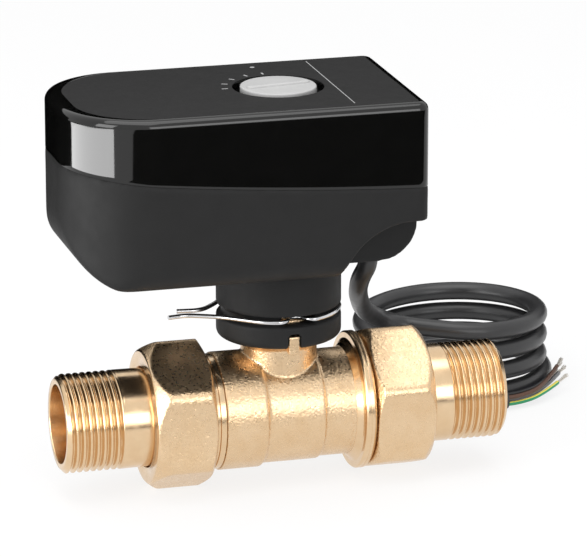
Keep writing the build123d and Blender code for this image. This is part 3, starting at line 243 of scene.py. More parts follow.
CORE_GREEN = (0.01, 0.27, 0.11)
CORE_YELLOW = (0.75, 0.66, 0.09)


def striped(name):
    """Green insulation with a yellow band along its top."""
    s = Shade(name, CORE_GREEN, 0.0, 0.35)
    where = s.tree.nodes.new("ShaderNodeTexCoord")
    upward = s.put("ShaderNodeSeparateXYZ", Vector=where.outputs["Normal"]).outputs["Z"]
    band = s.span(upward, 0.62, 0.70, 0.0, 1.0, True)
    s.join(s.mix(band, CORE_GREEN, CORE_YELLOW), s.shader.inputs["Base Color"])
    s.bump(s.noise(0.5, 2.0), 0.01, 0.5)
    return s


# Each look's maker and what it is given. Turned brass has its cast grain beyond the part's end
RECIPES = {
    "cast_brass": (brass, -60.0, 23.6),
    "nut_brass_left": (brass, -46.6, -26.0),
    "nut_brass_right": (brass, 28.0, 48.6),
    "turned_brass": (brass, 200.0, 201.0),
    "chromed_ball": (machined, (0.78, 0.78, 0.80), 0.05, 0.10, (1.0, 1.0, 1.0), 0.001, 0.02),
    "stem_brass": (machined, (0.72, 0.52, 0.27), 0.20, 0.32, UPRIGHT),
    "seat_plastic": (moulded, (0.82, 0.82, 0.79), 0.42, 0.52, 0.8, 0.01, 0.04),
    "seal_rubber": (moulded, (0.022, 0.022, 0.023), 0.48, 0.62, 0.4, 0.02),
    "gasket_fibre": (moulded, (0.10, 0.18, 0.16), 0.62, 0.8, 0.3, 0.04, 0.25),
    "clip_steel": (machined, (0.66, 0.66, 0.67), 0.14, 0.24, (0.06, 1.0, 1.0), 0.004),
    "housing_matte": (moulded, (0.017, 0.017, 0.017), 0.50, 0.60, 0.32, 0.045, 0.05, 0.14),
    "cover_gloss": (moulded, (0.0035, 0.0035, 0.0033), 0.055, 0.085, 3.0, 0.0015, 0.1, 0.5),
    "plate_matte": (moulded, (0.014, 0.014, 0.014), 0.46, 0.56, 0.25, 0.02, 0.05, 0.12),
    "knob_plastic": (moulded, (0.47, 0.47, 0.465), 0.38, 0.48, 0.4, 0.012, 0.03),
    "bush_bronze": (machined, (0.56, 0.36, 0.18), 0.28, 0.42, UPRIGHT),
    "machine_steel": (machined, (0.56, 0.56, 0.57), 0.22, 0.34, UPRIGHT),
    "cam_plastic": (moulded, (0.60, 0.57, 0.50), 0.42, 0.55, 0.5, 0.01),
    "switch_plastic": (moulded, (0.035, 0.035, 0.036), 0.4, 0.5, 0.4, 0.015),
    "plunger_plastic": (moulded, (0.45, 0.05, 0.04), 0.35, 0.45, 0.4, 0.01),
    "gear_plastic": (moulded, (0.70, 0.69, 0.63), 0.38, 0.5, 0.5, 0.01),
    "motor_steel": (machined, (0.52, 0.52, 0.53), 0.28, 0.4, UPRIGHT),
    "board_green": (moulded, (0.02, 0.14, 0.06), 0.3, 0.42, 0.8, 0.01, 0.2),
    "terminal_plastic": (moulded, (0.03, 0.24, 0.09), 0.4, 0.5, 0.4, 0.01),
    "capacitor_sleeve": (moulded, (0.03, 0.04, 0.12), 0.3, 0.4, 0.6, 0.01),
    "gland_rubber": (moulded, (0.024, 0.024, 0.025), 0.5, 0.65, 0.3, 0.03),
    "clamp_plastic": (moulded, (0.06, 0.06, 0.062), 0.45, 0.55, 0.4, 0.02),
    "cable_sheath": (moulded, (0.027, 0.027, 0.028), 0.30, 0.38, 1.2, 0.02, 0.08, 0.5),
    "core_blue": (moulded, (0.065, 0.05, 0.42), 0.32, 0.42, 0.5, 0.01, 0.1),
    "core_brown": (moulded, (0.085, 0.035, 0.018), 0.34, 0.44, 0.5, 0.01, 0.1),
    "core_black": (moulded, (0.014, 0.014, 0.015), 0.32, 0.42, 0.5, 0.01, 0.1),
    "core_grey": (moulded, (0.16, 0.16, 0.165), 0.34, 0.44, 0.5, 0.01, 0.1),
    "print_grey": (moulded, (0.42, 0.42, 0.42), 0.5, 0.6, 0.3, 0.004, 0.04),
    "tinned_copper": (machined, (0.70, 0.66, 0.60), 0.25, 0.38, (1.0, 0.1, 0.3), 0.05),
    "core_green_yellow": (striped,),
}
LOOKS = {}
for look_name, (maker, *values) in RECIPES.items():
    LOOKS[look_name] = maker(look_name, *values).material

DRESS = {
    "cast_brass": ["valve_body"],
    "nut_brass_left": ["union_nut_left"],
    "nut_brass_right": ["union_nut_right"],
    "turned_brass": ["end_connector", "tail_left", "tail_right"],
    "chromed_ball": ["ball"],
    "stem_brass": ["stem"],
    "seat_plastic": ["seat_left", "seat_right", "stem_washer"],
    "seal_rubber": ["stem_o_rings", "cover_seal", "knob_seal"],
    "gasket_fibre": ["gasket_left", "gasket_right"],
    "clip_steel": ["retaining_clip"],
    "housing_matte": ["base_housing"],
    "cover_gloss": ["cover"],
    "plate_matte": ["top_plate"],
    "knob_plastic": ["knob"],
    "bush_bronze": ["shaft_bush"],
    "machine_steel": [
        "housing_screws", "output_shaft", "idler_axle", "motor_pinion", "plate_screws", "board_screws",
    ],
    "cam_plastic": ["cam_lower", "cam_upper"],
    "switch_plastic": ["switch_lower", "switch_upper", "relay"],
    "plunger_plastic": ["switch_plunger_lower", "switch_plunger_upper"],
    "gear_plastic": ["output_gear", "idler_gear"],
    "motor_steel": [
        "switch_bracket", "motor", "gear_plate_lower", "gear_plate_upper", "plate_spacers",
    ],
    "board_green": ["circuit_board"],
    "terminal_plastic": ["terminal_block"],
    "capacitor_sleeve": ["capacitor"],
    "gland_rubber": ["cable_gland"],
    "clamp_plastic": ["cable_clamp"],
    "cable_sheath": ["inner_lead", "cable_run", "cable_coil"],
    "core_green_yellow": ["core_green_yellow"],
    "core_blue": ["core_blue"],
    "core_brown": ["core_brown"],
    "core_black": ["core_black"],
    "core_grey": ["core_grey"],
    "tinned_copper": ["core_tips"],
}

for look_name, node_names in DRESS.items():
    for node_name in node_names:
        slots = NODES[node_name].data.materials
        if len(slots) == 0:
            slots.append(LOOKS[look_name])
        for index in range(len(slots)):
            slots[index] = LOOKS[look_name]


# Cable

CABLE_D = 6.5
RUN = [
    (33.2, 6, 51), (33.2, 6, 45.3), (31.3, 9.3, 39.8), (32.2, 16.0, 33.2), (36.9, 29.5, 25.0),
    (44.3, 48.6, 15.5), (51.6, 60.6, 9.3), (57.6, 64.7, 5.7), (63.6, 65.3, 3.7), (68.9, 62.9, 3.1),
]
COIL_X, COIL_Y = 88.2, 89.0
COIL_R = 31.8
COIL_PITCH = 7.55
COIL_LOW = -22.3
COIL_TURNS = 4.08
COIL_START = 245.0
STACKED_TURNS = 3.2
LOOSE_FROM = 3.18
LOOSE_WITHIN = 0.55
LOOSE_BY = 7.25
POINTS_IN_A_TURN = 16
# The curve runs inside its control points, at about this share of their distance from the axis
CURVE_SHARE = 0.981


def coil_point(turns):
    """Angle, radius and height after some turns, counted from where the cable comes down."""
    angle = math.radians(COIL_START + 360.0 * turns)
    out = min(max((turns - LOOSE_FROM) / LOOSE_WITHIN, 0.0), 1.0)
    radius = COIL_R + LOOSE_BY * math.sin(out * math.pi / 2)
    lift = COIL_PITCH * max(STACKED_TURNS - turns, 0.0) + 0.6 * max(1.0 - turns / 0.1, 0.0) ** 2
    return angle, radius, COIL_LOW + lift


def round_coil(angle, radius, z):
    """The point at this angle, radius and height round the coil's axis."""
    return at(COIL_X + radius * math.cos(angle), COIL_Y + radius * math.sin(angle), z)


def cut_end():
    """Middle of the cable's cut end, and the direction it points in."""
    angle, radius, z = coil_point(COIL_TURNS)
    heading = Vector((-math.sin(angle), math.cos(angle), 0.0))
    return round_coil(angle, radius, z) + heading * CABLE_D * MM, heading


def route():
    """Control points of the whole cable: the free run, the coil, and its straight end."""
    points = [at(*p) for p in RUN]
    steps = round(COIL_TURNS * POINTS_IN_A_TURN)
    for i in range(1, steps + 1):
        angle, radius, z = coil_point(COIL_TURNS * i / steps)
        points.append(round_coil(angle, radius / CURVE_SHARE, z))
    face, heading = cut_end()
    points.append(face - heading * 3.2 * MM)
    points.append(face)
    return points


def wire_curve(name, radius, bevel, look):
    """An empty curve whose lines become round wires of this radius."""
    curve = bpy.data.curves.new(name, "CURVE")
    curve.dimensions = "3D"
    curve.bevel_depth = radius * MM
    curve.bevel_resolution = bevel
    curve.use_fill_caps = True
    curve.materials.append(LOOKS[look])
    return curve


def add_line(curve, points, resolution):
    """Adds one open NURBS line with control points given in metres."""
    spline = curve.splines.new("NURBS")
    spline.points.add(len(points) - 1)
    for target, p in zip(spline.points, points):
        target.co = (*p, 1.0)
    spline.order_u = 3
    spline.use_endpoint_u = True
    spline.resolution_u = resolution


def strand(name, points, radius, look):
    """A round cord on the frame."""
    curve = wire_curve(name, radius, 6, look)
    add_line(curve, points, 8)
    cord = in_scene(name, curve)
    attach(cord, "frame")
    return cord


# How far each core fans out at its end, in mm: sideways, up and along; and its seat in the cut end
CORES = {
    "core_green_yellow": ((-10.8, 2.2, 23.4), (1.5, -1.2)),
    "core_blue": ((-16.2, 1.4, 24.9), (-1.5, -1.2)),
    "core_brown": ((-21.2, 2.4, 27.4), (1.5, 1.2)),
    "core_black": ((-19.4, 0.9, 27.3), (-1.5, 1.2)),
    "core_grey": ((-18.5, 1.3, 27.6), (0.0, 0.0)),
}
CORE_R = 0.75
WIRE_R = 0.16
WIRES = 7


def core_route(name):
    """Control points of a core, from the cable's cut end to its own."""
    (sideways, raised, along), (seat_side, seat_up) = CORES[name]
    face, heading = cut_end()
    side = Vector((heading.y, -heading.x, 0.0))
    up = Vector((0.0, 0.0, 1.0))
    start = face + (side * seat_side + up * seat_up) * MM
    return [
        start,
        start + heading * along * 0.2 * MM,
        start + (heading * along * 0.6 + side * sideways * 0.28 + up * raised * 0.4) * MM,
        start + (heading * along + side * sideways + up * raised) * MM,
    ]


def tip_wires():
    """Fine tinned wires at the end of each core, which spread a little."""
    curve = wire_curve("tip_wires", WIRE_R, 2, "tinned_copper")
    for name in CORES:
        before, end = core_route(name)[-2:]
        outward = (end - before).normalized()
        across = outward.cross(Vector((0.0, 0.0, 1.0))).normalized()
        upward = across.cross(outward)
        for wire in range(WIRES):
            angle = wire * 2.4 + end.x * 900.0
            off = across * math.cos(angle) + upward * math.sin(angle)
            inner, outer = (0.0, 0.1) if wire == 0 else (0.32, 0.42 + 0.05 * wire)
            spots = [(-0.6, inner), (3.6, inner * 0.9), (7.9 - 0.16 * wire, outer)]
            add_line(curve, [end + (outward * reach + off * spread) * MM for reach, spread in spots], 4)
    wires = in_scene("tip_wires", curve)
    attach(wires, "frame")
    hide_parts("core_tips")
    return wires


for core_name in CORES:
    core = strand(core_name + "_strand", core_route(core_name), CORE_R, core_name)
    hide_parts(core_name)

cable = strand("cable", route(), CABLE_D / 2, "cable_sheath")
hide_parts("cable_run", "cable_coil")
tip_wires()


# Mesh helpers

def piece(name, points, faces, look, body, replaced=(), angle=35):
    """A smooth-shaded mesh piece from points given in millimetres from the ball's centre."""
    mesh = bpy.data.meshes.new(name)
    mesh.from_pydata([at(*p) for p in points], [], faces)
    dressed(name, mesh, look, body, replaced, angle)


def dressed(name, mesh, look, body, replaced, angle):
    """Puts a mesh in the scene with its normals outward, its material and its body.

    Edges sharper than angle, in degrees, stay sharp.
    """
    shape = bmesh.new()
    shape.from_mesh(mesh)
    bmesh.ops.recalc_face_normals(shape, faces=shape.faces)
    shape.to_mesh(mesh)
    shape.free()
    mesh.polygons.foreach_set("use_smooth", [True] * len(mesh.polygons))
    mesh.set_sharp_from_angle(angle=math.radians(angle))
    mesh.materials.append(LOOKS[look])
    made = in_scene(name, mesh)
    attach(made, body)
    if replaced:
        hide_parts(*replaced)


def eased(corners, steps=4):
    """A closed outline of (a, b, radius) corners with each corner rounded by its radius."""
    outline = []
    count = len(corners)
    for i, (a, b, radius) in enumerate(corners):
        here = Vector((a, b))
        if radius <= 0:
            outline.append((a, b))
            continue
        before = Vector(corners[i - 1][:2]) - here
        after = Vector(corners[(i + 1) % count][:2]) - here
        turn = math.pi - before.angle(after)
        cut = min(radius * math.tan(turn / 2), 0.48 * before.length, 0.48 * after.length)
        first = here + before.normalized() * cut
        last = here + after.normalized() * cut
        for step in range(steps + 1):
            t = step / steps
            p = first * (1 - t) ** 2 + here * 2 * t * (1 - t) + last * t ** 2
            outline.append((p.x, p.y))
    return outline


def rings(rows, columns, closed=True):
    """Faces between rows of columns points, joined round and, if closed, from last row to first."""
    faces = []
    for i in range(rows if closed else rows - 1):
        j = (i + 1) % rows
        for c in range(columns):
            d = (c + 1) % columns
            faces.append((i * columns + c, i * columns + d, j * columns + d, j * columns + c))
    return faces


def stack(rows, columns):
    """Faces of an open stack of rows, with a cap on its first and last row."""
    first = tuple(range(columns))
    last = tuple((rows - 1) * columns + c for c in range(columns))
    return rings(rows, columns, False) + [first, last]


def round_pipe(outline, columns, shape=None):
    """Turns a closed outline of (x, radius) round the pipe's axis."""
    points = []
    for x, radius in outline:
        for c in range(columns):
            angle = 2 * math.pi * c / columns
            r = shape(x, radius, angle) if shape else radius
            points.append((x, r * math.cos(angle), r * math.sin(angle)))
    return points, rings(len(outline), columns)


def capped(outline, columns, centre=(0.0, 0.0)):
    """Turns an open outline of (radius, z) round an upright axis and closes both ends."""
    points = []
    for radius, z in outline:
        for c in range(columns):
            angle = 2 * math.pi * c / columns
            x = centre[0] + radius * math.cos(angle)
            y = centre[1] + radius * math.sin(angle)
            points.append((x, y, z))
    return points, stack(len(outline), columns)


def joined(parts):
    """Puts several (points, faces) together."""
    points, faces = [], []
    for more_points, more_faces in parts:
        start = len(points)
        points += more_points
        faces += [tuple(start + i for i in face) for face in more_faces]
    return points, faces


def steps_between(low, high, count):
    """Evenly spaced values from low to high, with count steps."""
    return [low + (high - low) * i / count for i in range(count + 1)]


# Union tails, with their threads

THREAD_PITCH = 2.309
THREAD_R = 16.6
THREAD_DEPTH = 1.22
THREAD_START = 56.2
THREAD_RUNOUT = 1.6
THREAD_CHAMFER = 74.6
TAIL_INNER = 39.5
TAIL_HEAD_R = 19.78
TAIL_THROAT_R = 10.32
TAIL_BORE_R = 13.22


def tail(side):
    """A union tail with a helical pipe thread."""
    rows = eased([
        (TAIL_INNER, TAIL_THROAT_R, 0.2), (TAIL_INNER, TAIL_HEAD_R, 0.3),
        (43.44, TAIL_HEAD_R, 0.3), (43.44, THREAD_R, 0.6),
    ])
    thread_rows = [(x, THREAD_R) for x in steps_between(THREAD_START - 0.4, REACH - 0.05, 150)]
    inside = eased([
        (REACH, 14.0, 0), (REACH, TAIL_BORE_R, 0.35),
        (43.5, TAIL_BORE_R, 0.4), (43.5, TAIL_THROAT_R, 0.3),
    ])

    def shape(x, radius, angle):
        if radius != THREAD_R or x < THREAD_START:
            return radius
        phase = (x / THREAD_PITCH - side * angle / (2 * math.pi)) % 1.0
        cut = max(0.0, 1.0 - abs(phase - 0.5) / 0.42)
        cut = cut * cut * (3 - 2 * cut) * 0.55 + cut * 0.45
        runout = min(1.0, (x - THREAD_START) / THREAD_RUNOUT)
        grooved = THREAD_R - THREAD_DEPTH * min(cut, 0.94) / 0.94 * runout
        return min(grooved, THREAD_R - max(0.0, x - THREAD_CHAMFER) * 1.05)

    points, faces = round_pipe(rows + thread_rows + inside, 176, shape)
    points = [(side * x, y, z) for x, y, z in points]
    word = SIDES[side]
    piece(
        f"tail_{word}_thread", points, faces, "turned_brass", word + "_tail",
        ["tail_" + word], 50,
    )


tail(-1)
tail(1)


# Union nuts

NUT_LENGTH = 20.5
NUT_FLATS = 45.5
NUT_CORNER_R = 25.62
NUT_FACE_R = 22.2
NUT_CHAMFER = 3.45
NUT_INNER_CHAMFER = 2.0
NUT_SOFT = 110.0
NUT_BORE_R = 21.3
NUT_COLLAR_R = 16.93
NUT_COLLAR_X = 43.52


def nut(side, inner, outer_chamfer, turn):
    """A hexagon union nut whose faces, corners and turned chamfers run into each other softly."""
    outer = inner + NUT_LENGTH
    half = NUT_FLATS / 2
    rows = [inner + 0.05, inner + 0.12] + steps_between(inner + 0.3, inner + 4.0, 16)
    rows += steps_between(inner + 4.6, outer - 6.4, 12) + steps_between(outer - 5.8, outer - 0.3, 24)
    rows += [outer - 0.12, outer - 0.05]
    outline = [(inner, NUT_BORE_R), (inner, 21.75)] + [(x, None) for x in rows]
    outline += [
        (outer, 21.8), (outer, 17.2), (outer - 0.3, NUT_COLLAR_R),
        (NUT_COLLAR_X, NUT_COLLAR_R), (NUT_COLLAR_X, 21.27),
    ]

    def shape(x, radius, angle):
        if radius is not None:
            return radius
        sixth = math.radians(60.0)
        around = (angle - math.radians(90.0 + turn)) % sixth - sixth / 2
        flat = half / math.cos(around)
        near_inner = NUT_FACE_R + (x - inner) * NUT_CHAMFER / NUT_INNER_CHAMFER
        near_outer = NUT_FACE_R + (outer - x) * NUT_CHAMFER / outer_chamfer
        walls = (flat, NUT_CORNER_R, near_inner, near_outer)
        least = min(walls)
        r = least * sum((least / w) ** NUT_SOFT for w in walls) ** (-1.0 / NUT_SOFT)
        edge = min(x - inner, outer - x)
        return r - max(0.0, 0.3 - edge) ** 2 * 3.0

    points, faces = round_pipe(outline, 288, shape)
    points = [(side * x, y, z) for x, y, z in points]
    word = SIDES[side]
    piece(
        f"nut_{word}_hexagon", points, faces, "nut_brass_" + word, word + "_nut",
        ["union_nut_" + word], 60,
    )


nut(-1, 26.5, 4.4, 0.0)
nut(1, 28.5, 3.4, 9.0)


# Soft copies of cast and moulded nodes

CENTRED = np.array([REACH, 0.0, 0.0])


def softened(name, node, voxel, passes, back, weight, look, angle, trim=None):
    """A remeshed copy of a node whose edges are eased where weight(x, y, z) says, from 0 to 1.

    back is how far each pass swells the form again, so that it keeps its size. trim gets the
    points in millimetres and gives them back in their last places.
    """
    copy = in_scene(name + "_raw", NODES[node].data.copy())
    change = copy.modifiers.new("remesh", "REMESH")
    change.mode = "VOXEL"
    change.voxel_size = voxel * MM
    change.adaptivity = 0.0
    bpy.context.view_layer.update()
    graph = bpy.context.evaluated_depsgraph_get()
    mesh = bpy.data.meshes.new_from_object(copy.evaluated_get(graph))
    bpy.data.objects.remove(copy)
    mesh.materials.clear()
    count = len(mesh.vertices)
    flat = np.empty(count * 3)
    mesh.vertices.foreach_get("co", flat)
    places = flat.reshape(-1, 3)
    pairs = np.empty(len(mesh.edges) * 2, dtype=np.int64)
    mesh.edges.foreach_get("vertices", pairs)
    pairs = pairs.reshape(-1, 2)
    links = np.zeros(count)
    np.add.at(links, pairs[:, 0], 1)
    np.add.at(links, pairs[:, 1], 1)
    local = places / MM - CENTRED
    amount = weight(local[:, 0], local[:, 1], local[:, 2])[:, None]
    for _ in range(passes):
        for factor in (0.5, -back):
            total = np.zeros_like(places)
            np.add.at(total, pairs[:, 0], places[pairs[:, 1]])
            np.add.at(total, pairs[:, 1], places[pairs[:, 0]])
            mean = total / links[:, None]
            places = places + factor * amount * (mean - places)
    if trim is not None:
        places = (trim(places / MM - CENTRED) + CENTRED) * MM
    mesh.vertices.foreach_set("co", places.reshape(-1))
    mesh.update()
    dressed(name, mesh, look, "frame", [node], angle)


def ramp(value, low, high):
    """0 below low, 1 above high, smooth between."""
    t = np.clip((value - low) / (high - low), 0.0, 1.0)
    return t * t * (3 - 2 * t)


def body_weight(x, y, z):
    """Eases the casting, but not its turned right end."""
    return 1.0 - ramp(x, 23.0, 24.4) * (1 - ramp(z, 24.0, 25.0))


softened("body_casting", "valve_body", 0.42, 6, 0.5, body_weight, "cast_brass", 60)


# Turned pieces round the pipe

def collar():
    """The turned collar over the right end of the casting."""
    outline = eased([
        (22.2, 17.6, 0), (22.2, 18.32, 0.2), (24.0, 20.2, 0.4), (24.35, 20.95, 0.15),
        (24.35, 22.75, 0.15), (24.9, 23.28, 0.2), (25.75, 23.28, 0.05), (25.85, 22.95, 0.03),
        (26.05, 22.95, 0.03), (26.15, 23.28, 0.05), (27.1, 23.28, 0.25), (27.98, 22.5, 0.2),
        (27.98, 20.9, 0.1), (27.2, 17.6, 0),
    ])
    points, faces = round_pipe(outline, 224)
    piece("flange_collar", points, faces, "turned_brass", "frame", angle=50)


def connector():
    """The grooved ring, union thread and spigot left of the ball."""
    outline = eased([
        (-37.95, 10.35, 0.3), (-37.95, 19.95, 0.3), (-37.0, 20.9, 0.2), (-26.2, 20.9, 0.1),
        (-26.2, 19.4, 0.12), (-25.6, 19.4, 0.1), (-25.5, 18.8, 0.1), (-24.85, 18.8, 0.1),
        (-24.75, 19.4, 0.1), (-22.74, 19.4, 0.25), (-22.74, 16.94, 0.2), (-8.45, 16.94, 0.2),
        (-8.45, 14.4, 0.1), (-13.4, 14.4, 0.1), (-13.4, 10.35, 0.1),
    ])
    points, faces = round_pipe(outline, 224)
    piece(
        "connector_turned", points, faces, "turned_brass", "frame",
        ["end_connector"], 50,
    )


collar()
connector()


# Housing plan

LEFT, RIGHT, HALF = -76.5, 42.0, 35.2
LEFT_CORNER = 28.0
RIGHT_CORNER = 4.0
PARTING_RIGHT = 82.0
PARTING_RISE = 10.0
PARTING_SAG = 1.5


def plan_loop(inset, left_extra=0.0):
    """Points round the housing's plan, drawn in by an inset; the same count for any inset."""
    left, right, half = LEFT + inset + left_extra, RIGHT - inset, HALF - inset
    big, small = LEFT_CORNER - inset, max(RIGHT_CORNER - inset, 0.8)
    # Middle, radius, first angle, steps round the corner and steps along the side after it
    corners = [
        (right - small, -half + small, small, -90, 12, 24),
        (right - small, half - small, small, 0, 12, 44),
        (left + big, half - big, big, 90, 32, 12),
        (left + big, -half + big, big, 180, 32, 44),
    ]
    arcs = []
    for cx, cy, r, start, count, _ in corners:
        turns = [math.radians(start + 90 * step / count) for step in range(count + 1)]
        arcs.append([(cx + r * math.cos(a), cy + r * math.sin(a)) for a in turns])
    points = []
    for i, arc in enumerate(arcs):
        points += arc
        (x0, y0), (x1, y1) = arc[-1], arcs[(i + 1) % len(arcs)][0]
        fill = corners[i][-1]
        for step in range(1, fill):
            t = step / fill
            points.append((x0 + (x1 - x0) * t, y0 + (y1 - y0) * t))
    return points


def ring_loop(loop, radius):
    """Points on a circle round the stem, one for each point of a plan loop, in the same order."""
    found = []
    for x, y in loop:
        far = math.hypot(x, y)
        found.append((x * radius / far, y * radius / far))
    return found


def parting(x):
    """Height of the line between base and cover, for one place or an array of them."""
    share = (RIGHT - x) / (RIGHT - LEFT)
    return PARTING_RIGHT + share * PARTING_RISE - 4 * PARTING_SAG * share * (1 - share)


def skin(rows):
    """Points and faces of a closed skin through rows that all have the same count of points."""
    return [p for row in rows for p in row], rings(len(rows), len(rows[0]))


# Cover, with the knob's well

COVER_TOP = 110.6
COVER_EDGE = 2.7
COVER_WALL = 2.2
ROOF_LOW = 107.9
PLATE_INSET = 3.0
PLATE_LEFT_INSET = 2.6
PLATE_LOW = COVER_TOP - 0.5
KNOB_TOP = 110.9
KNOB_THICKNESS = 3.5
KNOB_TRAVEL = 2.5
WELL_R = 15.2
WELL_FLOOR = KNOB_TOP - KNOB_THICKNESS - KNOB_TRAVEL - 0.3
SEAL_R = 6.9
HUB_HOLE_R = 5.8
SCREW_SPOTS = [(-60.0, -19.6), (-60.0, 19.6), (35.4, -28.6), (35.4, 28.6)]


def screw_post(x, y):
    """A post under the cover's roof, over a housing screw."""
    low, high = parting(x) + 0.1, ROOF_LOW + 0.3
    outline = eased([(0.4, low, 0), (3.7, low, 0.3), (3.7, high, 0.1), (0.4, high, 0)])
    return capped(outline, 48, (x, y))


def cover_piece():
    """The glossy hood: walls down to the curved parting line, a rounded rim, and the knob's well."""
    outer = plan_loop(0.0)
    inner = plan_loop(COVER_WALL)
    seat = plan_loop(PLATE_INSET, PLATE_LEFT_INSET)
    edge_low = COVER_TOP - COVER_EDGE
    rows = []
    for inset, lift in ((0.35, 0.0), (0.1, 0.1), (0.0, 0.35)):
        rows.append([(x, y, parting(x) + 0.02 + lift) for x, y in plan_loop(inset)])
    for t in (0.1, 0.25, 0.5, 0.75, 0.92):
        rows.append([(x, y, parting(x) + (edge_low - parting(x)) * t) for x, y in outer])
    for step in range(11):
        a = math.radians(9.0 * step)
        loop = plan_loop(COVER_EDGE * (1 - math.cos(a)))
        rows.append([(x, y, edge_low + COVER_EDGE * math.sin(a)) for x, y in loop])
    for inset, extra, drop in ((2.85, 2.45, 0.0), (2.98, 2.58, 0.06)):
        rows.append([(x, y, COVER_TOP - drop) for x, y in plan_loop(inset, extra)])
    rows.append([(x, y, PLATE_LOW) for x, y in seat])
    # Radius and height: down the well, through the hub's hole, and back up to the roof
    well = [
        (WELL_R + 0.3, PLATE_LOW), (WELL_R + 0.08, PLATE_LOW - 0.06), (WELL_R, PLATE_LOW - 0.3),
        (WELL_R, COVER_TOP - 3.0), (WELL_R, WELL_FLOOR + 0.4), (WELL_R - 0.12, WELL_FLOOR + 0.1),
        (WELL_R - 0.4, WELL_FLOOR), (10.0, WELL_FLOOR), (SEAL_R + 0.05, WELL_FLOOR),
        (SEAL_R, WELL_FLOOR - 0.05), (SEAL_R, WELL_FLOOR - 1.2), (HUB_HOLE_R, WELL_FLOOR - 1.2),
        (HUB_HOLE_R, WELL_FLOOR - 2.0), (WELL_R + 1.9, WELL_FLOOR - 2.0),
        (WELL_R + 2.0, WELL_FLOOR - 1.9), (WELL_R + 2.0, ROOF_LOW),
    ]
    for radius, z in well:
        rows.append([(x, y, z) for x, y in ring_loop(seat, radius)])
    rows.append([(x, y, ROOF_LOW) for x, y in inner])
    rows.append([(x, y, parting(x) + 0.02) for x, y in inner])
    points, faces = joined([skin(rows)] + [screw_post(x, y) for x, y in SCREW_SPOTS])
    piece("cover_hood", points, faces, "cover_gloss", "frame", ["cover"], 28)


def plate_piece():
    """The matte plate in the cover's top, with its edges eased."""
    rows = []
    edge = [(0.30, 0.0), (0.06, 0.02), (0.03, 0.1), (0.03, 0.33), (0.08, 0.395), (0.2, 0.4)]
    for inset, lift in edge:
        loop = plan_loop(PLATE_INSET + inset, PLATE_LEFT_INSET)
        rows.append([(x, y, PLATE_LOW + lift) for x, y in loop])
    loop = plan_loop(PLATE_INSET + 0.03, PLATE_LEFT_INSET)
    for radius, lift in ((15.6, 0.4), (15.32, 0.395), (15.22, 0.33), (15.22, 0.02), (15.5, 0.0)):
        rows.append([(x, y, PLATE_LOW + lift) for x, y in ring_loop(loop, radius)])
    points, faces = skin(rows)
    piece("plate_sheet", points, faces, "plate_matte", "frame", ["top_plate"], 28)


cover_piece()
plate_piece()


# Knob

KNOB_R = 12.65
KNOB_HUB_R = 5.5
KNOB_BORE_R = 3.7
KNOB_ROOF = 108.9
RIDGE_TURN = 8.0
RIDGE_HALF = 1.45
RIDGE_REACH = 11.1
# A cap on the axis keeps this radius, so that its points stay apart
AXIS_R = 0.02


def knob_ridge():
    """The grip ridge across the knob, its top edge rounded."""
    turn = math.radians(RIDGE_TURN)
    columns = 48
    sections = [
        (0.0, 110.7), (0.0, 111.1), (0.06, 111.32), (0.2, 111.5), (0.42, 111.58), (0.7, 111.6),
    ]
    points = []
    for inset, z in sections:
        half, reach = RIDGE_HALF - inset, RIDGE_REACH - inset
        for c in range(columns):
            a = 2 * math.pi * c / columns
            side = 1 if math.cos(a) >= 0 else -1
            x = side * (reach - half) + half * math.cos(a)
            y = half * math.sin(a)
            turned_x = x * math.cos(turn) - y * math.sin(turn)
            turned_y = x * math.sin(turn) + y * math.cos(turn)
            points.append((turned_x, turned_y, z))
    return points, stack(len(sections), columns)


def knob_piece():
    """Light knob: an eased disc on its hub, with the grip ridge."""
    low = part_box("knob")[0].z / MM
    under = KNOB_TOP - KNOB_THICKNESS
    outline = [(AXIS_R, KNOB_TOP)] + eased([
        (6.0, KNOB_TOP, 0), (KNOB_R, KNOB_TOP, 0.55), (KNOB_R, under, 0.35),
        (KNOB_HUB_R, under, 0.5), (KNOB_HUB_R, low, 0.3), (KNOB_BORE_R, low, 0.2),
        (KNOB_BORE_R, KNOB_ROOF, 0),
    ], 5) + [(AXIS_R, KNOB_ROOF)]
    points, faces = joined([capped(outline, 144), knob_ridge()])
    piece("knob_grip", points, faces, "knob_plastic", "indicator", ["knob"], 35)


knob_piece()


# Print on the top plate: plain ticks, a line and a dot

PRINT_LOW = 110.49
PRINT_HIGH = 110.52
TICK_ANGLES = (176.5, 156.0, 134.0, 112.0, 92.0)


def mark(start, end, width):
    """A thin flat mark from one point to another on the plate."""
    (x0, y0), (x1, y1) = start, end
    along = Vector((x1 - x0, y1 - y0)).normalized()
    side = Vector((-along.y, along.x)) * width / 2
    corners = [
        (x0 + side.x, y0 + side.y), (x0 - side.x, y0 - side.y),
        (x1 - side.x, y1 - side.y), (x1 + side.x, y1 + side.y),
    ]
    faces = [(3, 2, 1, 0), (4, 5, 6, 7), (0, 1, 5, 4), (1, 2, 6, 5), (2, 3, 7, 6), (3, 0, 4, 7)]
    return [(x, y, z) for z in (PRINT_LOW, PRINT_HIGH) for x, y in corners], faces


def print_piece():
    """Five ticks round the well, the thin line across the plate, and a dot."""
    marks = []
    for angle in TICK_ANGLES:
        a = math.radians(angle)
        start, end = [(reach * math.cos(a), reach * math.sin(a)) for reach in (16.9, 19.0)]
        marks.append(mark(start, end, 0.6))
    marks.append(mark((18.0, -28.5), (18.0, 30.5), 0.28))
    dot = [(AXIS_R, PRINT_LOW), (0.8, PRINT_LOW), (0.8, PRINT_HIGH), (AXIS_R, PRINT_HIGH)]
    marks.append(capped(dot, 24, (-1.6, 27.3)))
    points, faces = joined(marks)
    piece("plate_print", points, faces, "print_grey", "frame", angle=30)


print_piece()


# Base of the housing

